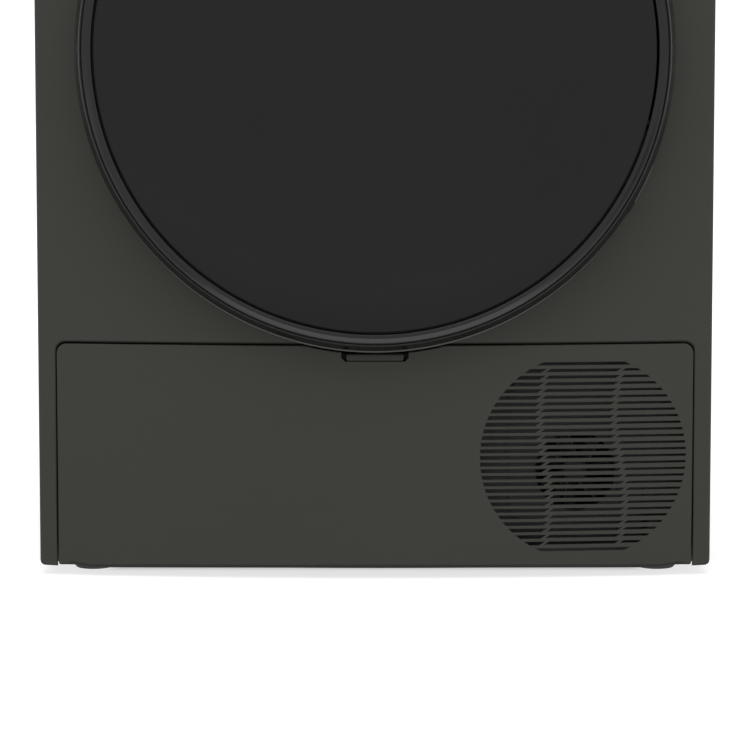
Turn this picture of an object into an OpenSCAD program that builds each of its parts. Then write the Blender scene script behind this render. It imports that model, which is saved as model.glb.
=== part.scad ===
// Free-standing heat-pump clothes dryer.
// Millimetres, X to the right, front faces -Y, Z up, floor at z = 0.
// Every sub-part is drawn in its assembled place.

/* [Cabinet] */
// overall width of the cabinet
body_w = 600; // [590:1:620]
// overall height to the top of the worktop
body_h = 850; // [820:1:880]
// height of the worktop slab
worktop_h = 28; // [15:1:40]
// y of the middle of the front panel's outer face
front_y = -292; // [-300:1:-280]
// how far the front bulges between its edges
bulge = 25; // [10:1:40]
// thickness of the moulded front skins
skin = 2.5; // [1.5:0.1:4]
// thickness of the folded steel sheets
sheet = 1.2; // [0.8:0.1:2]
// y of the rear edge of the side panels
rear_y = 298; // [280:1:310]
// depth of the hot-air duct cover on the back
duct_depth = 25; // [15:1:30]

/* [Control fascia] */
// lower edge of the control fascia
fascia_z = 742; // [720:1:770]
// radius of the programme knob
knob_r = 26; // [18:1:32]
// how far the knob stands proud of the fascia
knob_h = 20; // [10:1:24]

/* [Door] */
// height of the door centre
door_z = 466; // [440:1:500]
// outer radius of the door ring
ring_r = 262; // [240:1:270]
// radius of the dark outer glass
glass_r = 244.6; // [220:0.1:255]
// y of the foremost point of the door ring
door_front = -320; // [-330:1:-310]
// x of the hinge pin
hinge_x = 245; // [243:0.5:247]
// y of the hinge pin
hinge_y = -300; // [-301:0.5:-299]
// radius of the hinge pin
hinge_pin_r = 3; // [2.5:0.5:3.5]

/* [Kick panel] */
// seam between front panel and kick panel
seam_z = 208; // [190:1:225]
// half width of the kick panel
kick_hw = 283.2; // [275:0.1:290]
// lower edge of the kick panel
kick_bottom = 10; // [6:0.5:15]
// gap all round the kick panel
kick_gap = 0.9; // [0.5:0.1:2]
// y of the kick panel's hinge axis
kick_axis_y = -277; // [-280:1:-270]
// z of the kick panel's hinge axis
kick_axis_z = 20; // [18:1:24]

/* [Round louvre] */
// centre of the louvre across the panel
louvre_x = 185; // [150:1:200]
// centre height of the louvre
louvre_z = 108; // [90:1:120]
// radius of the louvre field
louvre_r = 92; // [70:1:100]
// distance between slots
slot_pitch = 5.93; // [5:0.01:8]
// number of slots
slot_count = 29; // [11:2:33]

/* [Drum] */
// outer radius of the drum
drum_r = 275; // [260:1:280]
// height of the drum axis
drum_z = 505; // [495:1:515]
// y of the drum's front rim
drum_y0 = -205; // [-210:1:-190]
// y of the drum's rear face
drum_y1 = 270; // [250:1:275]
// wall of the drum shell
drum_wall = 1.4; // [1:0.1:2]

/* [Drive] */
// x of the motor axis
motor_x = 205; // [195:1:210]
// z of the motor axis
motor_z = 200; // [190:1:210]
// radius of the motor pulley
pulley_r = 9; // [6:0.5:12]
// x of the idler pulley
idler_x = 135; // [125:1:145]
// z of the idler pulley
idler_z = 200; // [195:1:210]
// radius of the idler pulley
idler_r = 18; // [12:1:22]
// y of the belt's front edge
belt_y = 95; // [80:1:110]
// width of the belt
belt_w = 10; // [6:1:14]

/* [Hidden] */
$fn = 64;
half_w = body_w / 2;
top_z = body_h - worktop_h;
arc_r = (half_w * half_w + bulge * bulge) / (2 * bulge);
arc_cy = front_y + arc_r;
edge_y = front_y + bulge;
side_y0 = edge_y + 5;
rear_in = rear_y - 5;
rear_out = rear_y - 3;
run_fit = 0.05;
soft_gap = 0.3;
gap = 0.6;
mouth_r = 180;
mouth_y0 = -262;
bulk_y0 = -216;
bulk_y1 = -212;
seal_ro = 268;
seal_ri = 255;
roller_r = 25;
roller_angle = 28;
roller_d = drum_r + 0.4 + roller_r;
belt_in = drum_r + 0.4;
belt_t = 2;
fan_x = 181;
fan_z = 89;
fan_r = 36;
plate_y = -232;
tank_x0 = -284;
tank_x1 = -128;
tank_z0 = 759;
tank_z1 = 813;
tank_y0 = -255;
tank_y1 = 150;
duct_x0 = -285;
duct_x1 = -15;
duct_y0 = -237.5;
duct_y1 = 185;
duct_z0 = 60;
duct_z1 = 200;
hinge_zs = [411, 513];
hinge_plate_x = 214;
hinge_sleeve_r = 6.5;
base_z = 9;
base_wall_z = 60;
base_y0 = -250;
foot_x = 255;
foot_yf = -222;
foot_yr = 262;
foot_r = 18;
stem_r = 5;

// ---------- helpers ----------

function arc_y(x, inset = 0) = arc_cy - sqrt((arc_r - inset) * (arc_r - inset) - x * x);

function arc_pts(cx, cy, r, a0, a1, n) =
    [for (i = [0:n]) [cx + r * cos(a0 + (a1 - a0) * i / n), cy + r * sin(a0 + (a1 - a0) * i / n)]];

function round_rect(x0, y0, x1, y1, r) = concat(
    arc_pts(x1 - r, y1 - r, r, 0, 90, 6),
    arc_pts(x0 + r, y1 - r, r, 90, 180, 6),
    arc_pts(x0 + r, y0 + r, r, 180, 270, 6),
    arc_pts(x1 - r, y0 + r, r, 270, 360, 6)
);

function round_top(x0, y0, x1, y1, r) = concat(
    arc_pts(x1 - r, y1 - r, r, 0, 90, 6),
    arc_pts(x0 + r, y1 - r, r, 90, 180, 6),
    [[x0, y0], [x1, y0]]
);

function tangent_angle(a, ra, b, rb) =
    atan2(b[1] - a[1], b[0] - a[0]) - acos((ra - rb) / norm(b - a));

function arc_to(c, r, a0, a1, n) = arc_pts(c[0], c[1], r, a0, a1 + (a1 < a0 ? 360 : 0), n);

// closed line round two circles, counter-clockwise
function hull_path(a, ra, b, rb) =
    let (ab = tangent_angle(a, ra, b, rb), ba = tangent_angle(b, rb, a, ra))
    concat(arc_to(a, ra, ba, ab, 72), arc_to(b, rb, ab, ba, 24));

// box between two opposite corners
module box(a, b) {
    translate(a) cube([b[0] - a[0], b[1] - a[1], b[2] - a[2]]);
}

// extrudes an X-Z outline from y0 back to y1
module along_y(y0, y1) {
    translate([0, y1, 0]) rotate([90, 0, 0]) linear_extrude(y1 - y0) children();
}

// rod along Y
module rod_y(x, z, r, y0, y1) {
    translate([x, y1, z]) rotate([90, 0, 0]) cylinder(r = r, h = y1 - y0);
}

// turned part about a front-to-back axis; profile is [radius, distance forward of y = 0]
module turned(x, z) {
    translate([x, 0, z]) rotate([90, 0, 0]) rotate_extrude() children();
}

// rod along X
module rod_x(y, z, r, x0, x1) {
    translate([x0, y, z]) rotate([0, 90, 0]) cylinder(r = r, h = x1 - x0);
}

// ring about a front-to-back axis
module ring_y(x, z, ro, ri, y0, y1) {
    difference() {
        rod_y(x, z, ro, y0, y1);
        rod_y(x, z, ri, y0 - 1, y1 + 1);
    }
}

// plan of everything behind the bulged front face
module front_disc(inset) {
    translate([0, arc_cy]) circle(r = arc_r - inset, $fn = 720);
}

// plan of the bulged skin with chamfered outer corners and short side returns
module front_plan(t, back) {
    difference() {
        intersection() {
            front_disc(0);
            polygon([
                [-half_w, back], [-half_w, edge_y + 3.5], [-half_w + 3.5, edge_y - 1],
                [-half_w + 3.5, front_y - 5], [half_w - 3.5, front_y - 5],
                [half_w - 3.5, edge_y - 1], [half_w, edge_y + 3.5], [half_w, back]
            ]);
        }
        intersection() {
            front_disc(t);
            translate([-half_w + t, front_y - 5]) square([body_w - 2 * t, back - front_y + 10]);
        }
    }
}

// part of the bulged skin between two heights and two x values
module curved_strip(inset, t, x0, x1, z0, z1) {
    translate([0, 0, z0]) linear_extrude(z1 - z0) difference() {
        intersection() {
            front_disc(inset);
            translate([x0, front_y - 5]) square([x1 - x0, 80]);
        }
        front_disc(inset + t);
    }
}

// straight pipe runs joined by round elbows
module pipe_run(points, r) {
    for (i = [0:len(points) - 2]) {
        a = points[i];
        d = points[i + 1] - a;
        l = norm(d);
        translate(a) rotate([0, acos(d[2] / l), atan2(d[1], d[0])]) cylinder(r = r, h = l);
    }
    for (i = [1:len(points) - 2]) {
        translate(points[i]) sphere(r = r * 1.12, $fn = 24);
    }
}

// ---------- cabinet ----------

module foot_bores(r) {
    for (sx = [-1, 1], y = [foot_yf, foot_yr]) {
        translate([sx * foot_x, y, base_z - 1]) cylinder(r = r, h = 60);
    }
}

module kick_sockets() {
    for (s = [-1, 1]) {
        x0 = s > 0 ? 134 : -142;
        difference() {
            union() {
                rod_x(kick_axis_y, kick_axis_z, 5.5, x0, x0 + 8);
                box([x0, kick_axis_y, kick_axis_z - 4.5], [x0 + 8, base_y0 + 1, kick_axis_z + 4.5]);
            }
            rod_x(kick_axis_y, kick_axis_z, 3 + run_fit, x0 - 1, x0 + 9);
        }
    }
}

module base_tray() {
    color("#2b2c2c") {
        difference() {
            box([-half_w + 4, base_y0, base_z], [half_w - 4, rear_in - 1, base_wall_z]);
            box([-half_w + 7, base_y0 + 3, base_z + 3], [half_w - 7, rear_in - 4, base_wall_z + 1]);
            foot_bores(stem_r + run_fit);
            // low front wall before the air intake and the access cover
            box([18, base_y0 - 1, 24], [half_w - 14, base_y0 + 4, base_wall_z + 1]);
            box([duct_x0 + 2, base_y0 - 1, 30], [duct_x1 - 3, base_y0 + 4, base_wall_z + 1]);
        }
        for (sx = [-1, 1], y = [foot_yf, foot_yr]) {
            difference() {
                translate([sx * foot_x, y, base_z + 2]) cylinder(r = 12, h = 36);
                translate([sx * foot_x, y, base_z]) cylinder(r = stem_r + run_fit, h = 60);
            }
        }
        // partition beside the air channel
        box([duct_x1 + 3, duct_y0, base_z + 2], [duct_x1 + 6, duct_y1, base_wall_z]);
        box([-half_w + 6, duct_y1 + 3, base_z + 2], [duct_x1 + 6, duct_y1 + 6, base_wall_z]);
        kick_sockets();
    }
}

module side_sheet(s) {
    x_out = s * half_w;
    x_in = s * (half_w - sheet);
    x_fl = s * (half_w - 14);
    box([min(x_out, x_in), side_y0, base_z + 1], [max(x_out, x_in), rear_y, top_z]);
    // rear flange behind the back panel's edge
    box([min(x_in, x_fl), rear_out, base_z + 1], [max(x_in, x_fl), rear_out + sheet, top_z]);
    // pressed stiffening beads on the outside are shallow steps inwards
    for (z = [300, 520]) {
        box([min(x_in, x_in - s * 2), -180, z], [max(x_in, x_in - s * 2), 220, z + 16]);
    }
}

module left_side_panel() {
    color("#3b3c38") side_sheet(-1);
}

module right_side_panel() {
    color("#3b3c38") side_sheet(1);
}

module rear_panel() {
    hw = half_w - sheet - 0.2;
    color("#8d8f8e") difference() {
        box([-hw, rear_in, base_z + 1], [hw, rear_out, top_z]);
        // bearing seat and hot-air inlets to the drum
        rod_y(0, drum_z, 25, rear_in - 1, rear_out + 1);
        for (ring = [0:3]) {
            count = 14 + 6 * ring;
            r = 70 + 42 * ring;
            for (i = [0:count - 1]) {
                a = 360 * i / count;
                rod_y(r * cos(a), drum_z + r * sin(a), 8, rear_in - 1, rear_out + 1);
            }
        }
        // blower outlet
        rod_y(motor_x, motor_z, 60, rear_in - 1, rear_out + 1);
        // stacking-kit bolt holes
        for (sx = [-1, 1]) rod_y(sx * 250, 780, 3.3, rear_in - 1, rear_out + 1);
        // pipe and cable outlets
        rod_y(-250, 90, 9.3, rear_in - 1, rear_out + 1);
        rod_y(262, 100, 11.3, rear_in - 1, rear_out + 1);
        // cooling louvres beside the compressor
        for (i = [0:7]) box([-80, rear_in - 1, 70 + 12 * i], [70, rear_out + 1, 75 + 12 * i]);
    }
}

// outline round the drum inlet and the blower outlet
module duct_outline(inset) {
    polygon(hull_path([0, drum_z], 218 - inset, [motor_x, motor_z], 74 - inset));
}

module rear_duct_cover() {
    color("#9a9c9b") difference() {
        along_y(rear_out, rear_out + duct_depth) duct_outline(0);
        along_y(rear_out - 1, rear_out + duct_depth - 2) duct_outline(2);
    }
}

module top_panel() {
    color("#3b3c38") difference() {
        translate([0, 0, top_z]) linear_extrude(worktop_h) intersection() {
            front_disc(0);
            polygon([
                [-half_w, rear_y + 2], [-half_w, edge_y + 3.5], [-half_w + 3.5, edge_y - 1],
                [-half_w + 3.5, front_y - 5], [half_w - 3.5, front_y - 5],
                [half_w - 3.5, edge_y - 1], [half_w, edge_y + 3.5], [half_w, rear_y + 2]
            ]);
        }
        box([-half_w + 12, side_y0 + 10, top_z - 1], [half_w - 12, rear_y - 10, top_z + worktop_h - 4]);
    }
}

module top_rails() {
    color("#8d8f8e") {
        for (y = [-258, 60, 262]) {
            difference() {
                box([-half_w + 4, y, top_z - 4], [half_w - 4, y + 24, top_z]);
                for (x = [-240, -80, 80, 240]) translate([x, y + 12, top_z - 5]) cylinder(r = 4, h = 6);
            }
        }
    }
}

module front_outline() {
    difference() {
        translate([-half_w, 8.6]) square([body_w, fascia_z - gap - 8.6]);
        polygon(round_top(-kick_hw - kick_gap, 0, kick_hw + kick_gap, seam_z + kick_gap, 9.2));
        translate([0, door_z]) circle(r = 208);
        // slots for the two hinge arms
        for (z = hinge_zs) translate([hinge_plate_x - 2, z - 2]) square([18, 12]);
        // slot for the door hook
        translate([-236, door_z - 9]) square([22, 18]);
    }
}

module front_panel() {
    color("#3e3f3a") intersection() {
        translate([0, 0, 5]) linear_extrude(fascia_z) front_plan(skin, side_y0 - 0.5);
        along_y(front_y - 2, side_y0 + 20) front_outline();
    }
}

module control_fascia() {
    color("#34352f") difference() {
        union() {
            translate([0, 0, fascia_z]) linear_extrude(top_z - gap - fascia_z) front_plan(3, side_y0 - 0.5);
            // inner carrier web that holds the board
            box([-100, side_y0 - 6, fascia_z + 4], [half_w - 8, side_y0 - 3.5, fascia_z + 16]);
        }
        // water tank front
        along_y(front_y - 5, -240) polygon(round_rect(-291, 746, -121, 818, 4));
        // knob shaft
        rod_y(-30, 782, 4 + run_fit, front_y - 5, -240);
        // power and start buttons
        rod_y(-88, 782, 9.4, front_y - 5, -240);
        along_y(front_y - 5, -240) polygon(round_rect(239.6, 769.6, 276.4, 794.4, 5));
        // display window
        along_y(front_y - 5, -240) polygon(round_rect(40, 768, 210, 806, 3));
    }
}

module display_lens() {
    color("#141516") intersection() {
        curved_strip(0.4, 2.4, 30, 220, 760, 812);
        along_y(front_y - 5, -240) polygon(round_rect(40.3, 768.3, 209.7, 805.7, 3));
    }
}

module tank_housing() {
    x0 = tank_x0 - 4;
    x1 = tank_x1 + 4;
    z0 = tank_z0 - 4;
    z1 = tank_z1 + 3;
    color("#c9c9c4") difference() {
        box([x0, -236, z0], [x1, tank_y1 + 10, z1]);
        box([x0 + 2.5, -237, z0 + 2.5], [x1 - 2.5, tank_y1 + 7.5, z1 - 1.5]);
        // filler inlet for the pump hose
        rod_y(-270, 790, 6.4, tank_y1, tank_y1 + 20);
    }
}

// ---------- front structure ----------

module bulkhead_outline() {
    intersection() {
        translate([-half_w + 4, 200]) square([body_w - 8, 700]);
        union() {
            translate([0, drum_z]) circle(r = drum_r + 3);
            translate([-half_w + 4, 200]) square([body_w - 8, 340]);
        }
    }
}

module front_bulkhead() {
    color("#b9bab6") {
        difference() {
            union() {
                along_y(bulk_y0, bulk_y1) bulkhead_outline();
                // tunnel from the door opening to the drum and its front flange
                rod_y(0, door_z, mouth_r + 3.5, mouth_y0, bulk_y1);
                rod_y(0, door_z, 214, mouth_y0, mouth_y0 + 4);
                // pocket of the lint filter
                box([-86, -253, 205], [86, -223, 320]);
                // keeper for the door hook
                box([-246, -258, 448], [-204, -240, 484]);
            }
            rod_y(0, door_z, mouth_r, mouth_y0 - 1, bulk_y1 + 1);
            box([-82, -250, 200], [82, -226, 400]);
            box([-240, -259, 453], [-210, -243, 479]);
        }
        for (s = [-1, 1]) {
            x0 = s * (half_w - 4);
            x1 = s * (half_w - 7);
            box([min(x0, x1), -258, 200], [max(x0, x1), bulk_y0 + 1, 540]);
            rod_y(s * roller_d * sin(roller_angle), drum_z - roller_d * cos(roller_angle), 5, bulk_y1 - 1, -182);
        }
    }
}

module drum_front_seal() {
    color("#6e6a62") ring_y(0, drum_z, seal_ro, seal_ri, bulk_y1 + soft_gap, drum_y0 - soft_gap);
}

module drum_rear_seal() {
    color("#6e6a62") ring_y(0, drum_z, 250, 240, drum_y1 + soft_gap, rear_in - soft_gap);
}

module rear_bearing() {
    color("#a8aaa9") ring_y(0, drum_z, 24.9, 10 + run_fit, rear_in - 7, rear_out + 1);
}

module drum_lamp() {
    color("#e9e6da") {
        rod_y(0, 700, 16, bulk_y1, bulk_y1 + 3);
        rod_y(0, 700, 11, bulk_y1 + 3, bulk_y1 + 5);
    }
}

module humidity_strips() {
    color("#b5b7b8") for (x = [-62, 8]) box([x, bulk_y1, 262], [x + 54, bulk_y1 + 2, 269]);
}

// swan-neck arm from the plate behind the front panel out to the hinge pin
module hinge_arm_plan() {
    translate([hinge_x, hinge_y]) circle(r = 5.5);
    polygon([
        [hinge_x + 1.5, hinge_y - 4.5], [hinge_x - 3.5, hinge_y - 4.2],
        [hinge_plate_x, -277], [hinge_plate_x, -262], [hinge_plate_x + 14, -262],
        [hinge_plate_x + 14, -276], [hinge_x + 1.5, hinge_y + 1.5]
    ]);
}

module door_hinge_bracket() {
    color("#77797a") {
        for (z = hinge_zs) translate([0, 0, z]) linear_extrude(8) hinge_arm_plan();
        box([hinge_plate_x - 4, -266, 400], [hinge_plate_x + 20, -262, 532]);
        translate([hinge_x, hinge_y, 411]) cylinder(r = hinge_pin_r, h = 110);
    }
}

// ---------- door ----------

module ring_profile() {
    f = -door_front;
    polygon([
        [238, 300.3], [256, 300.3], [256, 282], [ring_r, 282], [ring_r, 301],
        [ring_r - 1.2, 304.5], [255.6, f - 3.8], [254.8, f - 1.6], [254.2, f - 1],
        [253.4, f - 1.4], [252.9, f - 2.6], [252.3, f - 2.6], [251.4, f - 0.8],
        [249.6, f], [247.6, f - 0.6], [246.2, f - 3.2], [245, f - 6], [245, 309.6], [238, 309.6]
    ]);
}

module door_ring() {
    color("#141414") difference() {
        turned(0, door_z) ring_profile();
        // back edge follows the bulged front panel
        translate([0, 0, door_z - 280]) linear_extrude(560) front_disc(-1.5);
        // room for the hinge behind the rim, and for its arms when the door is open
        intersection() {
            box([206, hinge_y - 7.3, 402], [270, -270, 530]);
            rod_y(0, door_z, 258.6, -330, -260);
        }
        for (z = hinge_zs) box([206, hinge_y - 0.8, z - 3], [270, -270, z + 11]);
        // the hinge side stops short of the panel so that it can swing back
        box([225, -284.5, door_z - 150], [270, -270, door_z + 150]);
        // finger scoop behind the left side
        box([-270, -305, door_z - 60], [-255, -270, door_z + 60]);
    }
}

module door_glass() {
    color("#1b1b1b") rod_y(0, door_z, glass_r, door_front + 5, door_front + 10);
}

module door_inner_frame() {
    color("#2a2b2b") difference() {
        turned(0, door_z) polygon([
            [165, 268], [204, 268], [204, 294.5], [243, 294.5], [243, 300],
            [200.5, 300], [200.5, 271], [168, 271], [168, 300], [165, 300]
        ]);
        // cut-out for the hinge
        box([226, -305, 408], [260, -290, 524]);
    }
}

module door_window() {
    color("#30383a") turned(0, door_z) polygon([
        [0, 256], [110, 256], [150, 262], [164.7, 270], [164.7, 276], [148, 268], [108, 261], [0, 261]
    ]);
}

module door_seal() {
    color("#55524c") ring_y(0, door_z, 196, 186, -267.9, mouth_y0 - soft_gap);
}

module door_hinge_arm() {
    color("#77797a") difference() {
        union() {
            translate([hinge_x, hinge_y, 420]) cylinder(r = hinge_sleeve_r, h = 92);
            box([226, -300, 424], [hinge_x - 4, -295, 508]);
        }
        translate([hinge_x, hinge_y, 419]) cylinder(r = hinge_pin_r + run_fit, h = 94);
    }
}

module door_hook() {
    color("#9fa1a2") {
        box([-229, -294.5, 461], [-221, -246, 472]);
        box([-229, -252, 458.6], [-221, -246, 461]);
    }
}

// ---------- drum ----------

module drum_shell() {
    color("#b4b6b7") {
        ring_y(0, drum_z, drum_r, drum_r - drum_wall, drum_y0, drum_y1 - 2);
        ring_y(0, drum_z, drum_r - 0.2, 257, drum_y0, drum_y0 + 2);
    }
}

module drum_back() {
    color("#a9abac") difference() {
        union() {
            rod_y(0, drum_z, drum_r, drum_y1 - 2, drum_y1);
            rod_y(0, drum_z, 42, drum_y1 - 8, drum_y1 - 1);
            rod_y(0, drum_z, 10, drum_y1 - 1, rear_out + 1);
        }
        for (ring = [0:3]) {
            count = 12 + 6 * ring;
            r = 80 + 40 * ring;
            for (i = [0:count - 1]) {
                a = 360 * i / count;
                rod_y(r * cos(a), drum_z + r * sin(a), 7, drum_y1 - 3, drum_y1 + 1);
            }
        }
    }
}

module drum_lifters() {
    color("#8f9192") for (i = [0:2]) {
        along_y(drum_y0 + 30, drum_y1 - 12) translate([0, drum_z]) intersection() {
            circle(r = drum_r - drum_wall);
            rotate(120 * i + 30) polygon([[-34, -280], [34, -280], [22, -246], [9, -232], [-9, -232], [-22, -246]]);
        }
    }
}

// ---------- drive ----------

// closed belt line round drum, idler and motor pulley
function belt_path(off) =
    let (
        cp = [motor_x, motor_z], cd = [0, drum_z], ci = [idler_x, idler_z],
        rp = pulley_r + soft_gap + off, rd = belt_in + off, ri = idler_r + soft_gap + off,
        a1 = tangent_angle(cp, rp, cd, rd),
        a2 = tangent_angle(cd, rd, ci, ri),
        a3 = tangent_angle(ci, ri, cp, rp)
    )
    concat(
        arc_to(cd, rd, a1, a2, 96),
        arc_to(ci, ri, a2, a3, 10),
        arc_to(cp, rp, a3, a1, 10)
    );

module drive_belt() {
    color("#1a1a1a") along_y(belt_y, belt_y + belt_w) difference() {
        polygon(belt_path(belt_t));
        polygon(belt_path(0));
    }
}

module motor_housing() {
    color("#6f7274") difference() {
        union() {
            rod_y(motor_x, motor_z, 50, 118, 232);
            rod_y(motor_x, motor_z, 18, 112, 119);
            for (x = [motor_x - 42, motor_x + 34]) box([x, 130, base_z + 3.5], [x + 8, 220, motor_z]);
            box([motor_x - 42, 130, base_z + 3.5], [motor_x + 42, 220, base_z + 8]);
            // idler pivot
            rod_y(172, 168, 4, 82, 119);
        }
        rod_y(motor_x, motor_z, 7 + run_fit, 100, 240);
    }
}

module motor_rotor() {
    color("#55585a") {
        rod_y(motor_x, motor_z, 7, 90, 284);
        rod_y(motor_x, motor_z, pulley_r, 93, 107);
        rod_y(motor_x, motor_z, 13, 91, 93);
        rod_y(motor_x, motor_z, 13, 107, 109);
        rod_y(motor_x, motor_z, 66, 248, 251);
        rod_y(motor_x, motor_z, 16, 246, 280);
        for (i = [0:13]) {
            translate([motor_x, 0, motor_z]) rotate([0, 360 * i / 14, 0]) box([14, 250, -1.5], [65, 277, 1.5]);
        }
    }
}

module blower_housing() {
    color("#3a3c3d") {
        ring_y(motor_x, motor_z, 78, 75, 240, 290);
        ring_y(motor_x, motor_z, 75.5, 42, 240, 243);
        // collector from the air channel
        difference() {
            box([-145, duct_y1 + 0.5, 80], [145, 239.5, 196]);
            box([-142, duct_y1 + 3.5, 83], [142, 236.5, 193]);
            box([-120, duct_y1 - 1, 95], [-30, duct_y1 + 5, 180]);
            box([128, 230, 135], [141, 242, 190]);
        }
    }
}

module idler_arm() {
    color("#8b8e90") difference() {
        union() {
            hull() {
                rod_y(172, 168, 9, 84, 89);
                rod_y(idler_x, idler_z, 8, 84, 89);
            }
            rod_y(idler_x, idler_z, 4, 88, 110);
        }
        rod_y(172, 168, 4 + run_fit, 83, 90);
    }
}

module idler_pulley() {
    color("#d8d5cb") ring_y(idler_x, idler_z, idler_r, 4 + run_fit, 93, 108);
}

module roller(s) {
    color("#3d3d3d") ring_y(
        s * roller_d * sin(roller_angle), drum_z - roller_d * cos(roller_angle),
        roller_r, 5 + run_fit, -200, -184
    );
}

module front_roller_left() {
    roller(-1);
}

module front_roller_right() {
    roller(1);
}

// ---------- heat pump ----------

module compressor() {
    color("#232425") {
        translate([150, -40, 30]) cylinder(r = 62, h = 128);
        translate([150, -40, 158]) cylinder(r1 = 62, r2 = 40, h = 16);
        translate([150, -40, 174]) cylinder(r = 10, h = 4);
        translate([232, -40, 40]) cylinder(r = 18, h = 100);
        box([205, -46, 60], [220, -34, 70]);
        box([205, -46, 110], [220, -34, 120]);
        box([85, -105, 24], [215, 25, 30]);
        for (x = [98, 202], y = [-92, 12]) translate([x, y, base_z + 3.5]) cylinder(r = 11, h = 12);
    }
}

// stack of upright fins between two end plates, open to the air from front to back
module fin_block(y0, y1) {
    difference() {
        box([-276, y0, base_z + 5], [-24, y1, 190]);
        for (i = [0:23]) {
            x = -273.5 + i * 10.35;
            box([x, y0 - 1, base_z + 7], [x + 8.85, y1 + 1, 188]);
        }
    }
}

module evaporator() {
    color("#b9bcbd") fin_block(-206, -110);
}

module condenser() {
    color("#b9bcbd") fin_block(-90, 80);
}

module refrigerant_pipes() {
    color("#b06a3c") {
        pipe_run([[150, -40, 178], [150, -40, 205], [20, -40, 205], [20, -40, 150], [-14.9, -40, 150]], 5);
        pipe_run([[85, -40, 100], [40, -40, 100], [40, -150, 100], [-14.9, -150, 100]], 5);
    }
}

module hx_duct_cover() {
    color("#33363a") difference() {
        box([duct_x0, duct_y0, duct_z0 + 0.5], [duct_x1, duct_y1, duct_z1]);
        box([duct_x0 + 3, duct_y0 - 1, duct_z0 - 1], [duct_x1 - 3, duct_y1 - 3, duct_z1 - 3]);
        box([-120, duct_y1 - 5, 95], [-30, duct_y1 + 1, 180]);
        // air comes down from the lint filter
        box([-90, duct_y0 + 4, duct_z1 - 5], [-30, -222, duct_z1 + 1]);
    }
}

module hx_access_cover() {
    color("#2e3133") difference() {
        union() {
            box([-278, -246, 31], [-22, -240, 192]);
            // grip ridge
            box([-180, -254, 106], [-120, -245, 124]);
        }
        box([-176, -255, 104], [-124, -248, 120]);
        for (x = [-260, -40]) rod_y(x, 115, 4 + run_fit, -250, -235);
    }
}

module hx_latch(x) {
    color("#6f8f9a") {
        box([x - 6, -253, 97], [x + 6, -246.5, 133]);
        rod_y(x, 115, 4, -247, -240);
    }
}

module hx_latch_left() {
    hx_latch(-260);
}

module hx_latch_right() {
    hx_latch(-40);
}

module intake_plate() {
    color("#2c2d2d") {
        difference() {
            box([20, plate_y, base_z + 3.5], [288, plate_y + 3, 198]);
            rod_y(fan_x, fan_z, fan_r, plate_y - 1, plate_y + 4);
            // corner left free for the foot boss of the base tray
            box([242, plate_y - 1, base_z], [289, plate_y + 4, 49]);
            along_y(plate_y - 1, plate_y + 1.5) difference() {
                polygon(round_rect(119, 42, 243, 173, 15));
                polygon(round_rect(121, 44, 241, 171, 13));
            }
        }
        ring_y(fan_x, fan_z, fan_r + 3, fan_r, plate_y + 3, -204);
        difference() {
            union() {
                rod_y(fan_x, fan_z, 14, -203, -182);
                for (a = [0, 120, 240]) {
                    translate([fan_x, 0, fan_z]) rotate([0, a, 0]) box([8, -206, -3], [fan_r + 1.5, -202, 3]);
                }
            }
            rod_y(fan_x, fan_z, 3 + run_fit, -210, -190);
        }
    }
}

module cooling_fan() {
    color("#171717") {
        rod_y(fan_x, fan_z, 12, -227, -209);
        rod_y(fan_x, fan_z, 3, -210, -192);
        for (i = [0:6]) {
            translate([fan_x, -218, fan_z]) rotate([0, 360 * i / 7, 0]) rotate([35, 0, 0])
                box([10, -7, -1], [34, 7, 1]);
        }
    }
}

module drain_pump() {
    color("#3c3f41") {
        translate([-230, 235, base_z + 3.5]) cylinder(r = 22, h = 30);
        box([-226, 215, base_z + 3.5], [-196, 255, 34]);
    }
    color("#8d9090") pipe_run([
        [-230, 235, 42], [-230, 235, 72], [-286, 235, 72], [-286, 235, 790],
        [-270, 235, 790], [-270, tank_y1 + 8, 790]
    ], 6);
}

module rear_fittings() {
    color("#5c5e5f") {
        difference() {
            union() {
                rod_y(-250, 90, 9, rear_in - 20, rear_out + 24);
                rod_y(-250, 90, 14, rear_out, rear_out + 3);
            }
            rod_y(-250, 90, 6, rear_in - 21, rear_out + 25);
        }
        difference() {
            union() {
                rod_y(262, 100, 11, rear_in - 8, rear_out + 8);
                rod_y(262, 100, 15, rear_out, rear_out + 3);
            }
            rod_y(262, 100, 5, rear_out - 20, rear_out + 9);
        }
    }
}

// ---------- kick panel ----------

function rib_x(side, z) =
    side < 0 ? 150.5 - 4.5 * sin(2.4 * (z - 106)) : 217.2 - 5.2 * sin(2.4 * (z - 106));

function chord(z) = sqrt(max(0, louvre_r * louvre_r - (z - louvre_z) * (z - louvre_z)));

rib_half = 2.4;
rib_slant = 1.2;
zone_heights = [3.0, 2.3, 1.7];

function zone_left(k, zc, z) =
    k == 0 ? louvre_x - chord(z) : rib_x(k == 1 ? -1 : 1, zc) + rib_half + rib_slant * (z - zc);

function zone_right(k, zc, z) =
    k == 2 ? louvre_x + chord(z) : rib_x(k == 0 ? -1 : 1, zc) - rib_half + rib_slant * (z - zc);

// one slot from left to right at its bottom and top edges
module slot_shape(l0, r0, l1, r1, z0, z1) {
    polygon([[l0, z0], [r0, z0], [r1, z1], [l1, z1]]);
}

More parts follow.
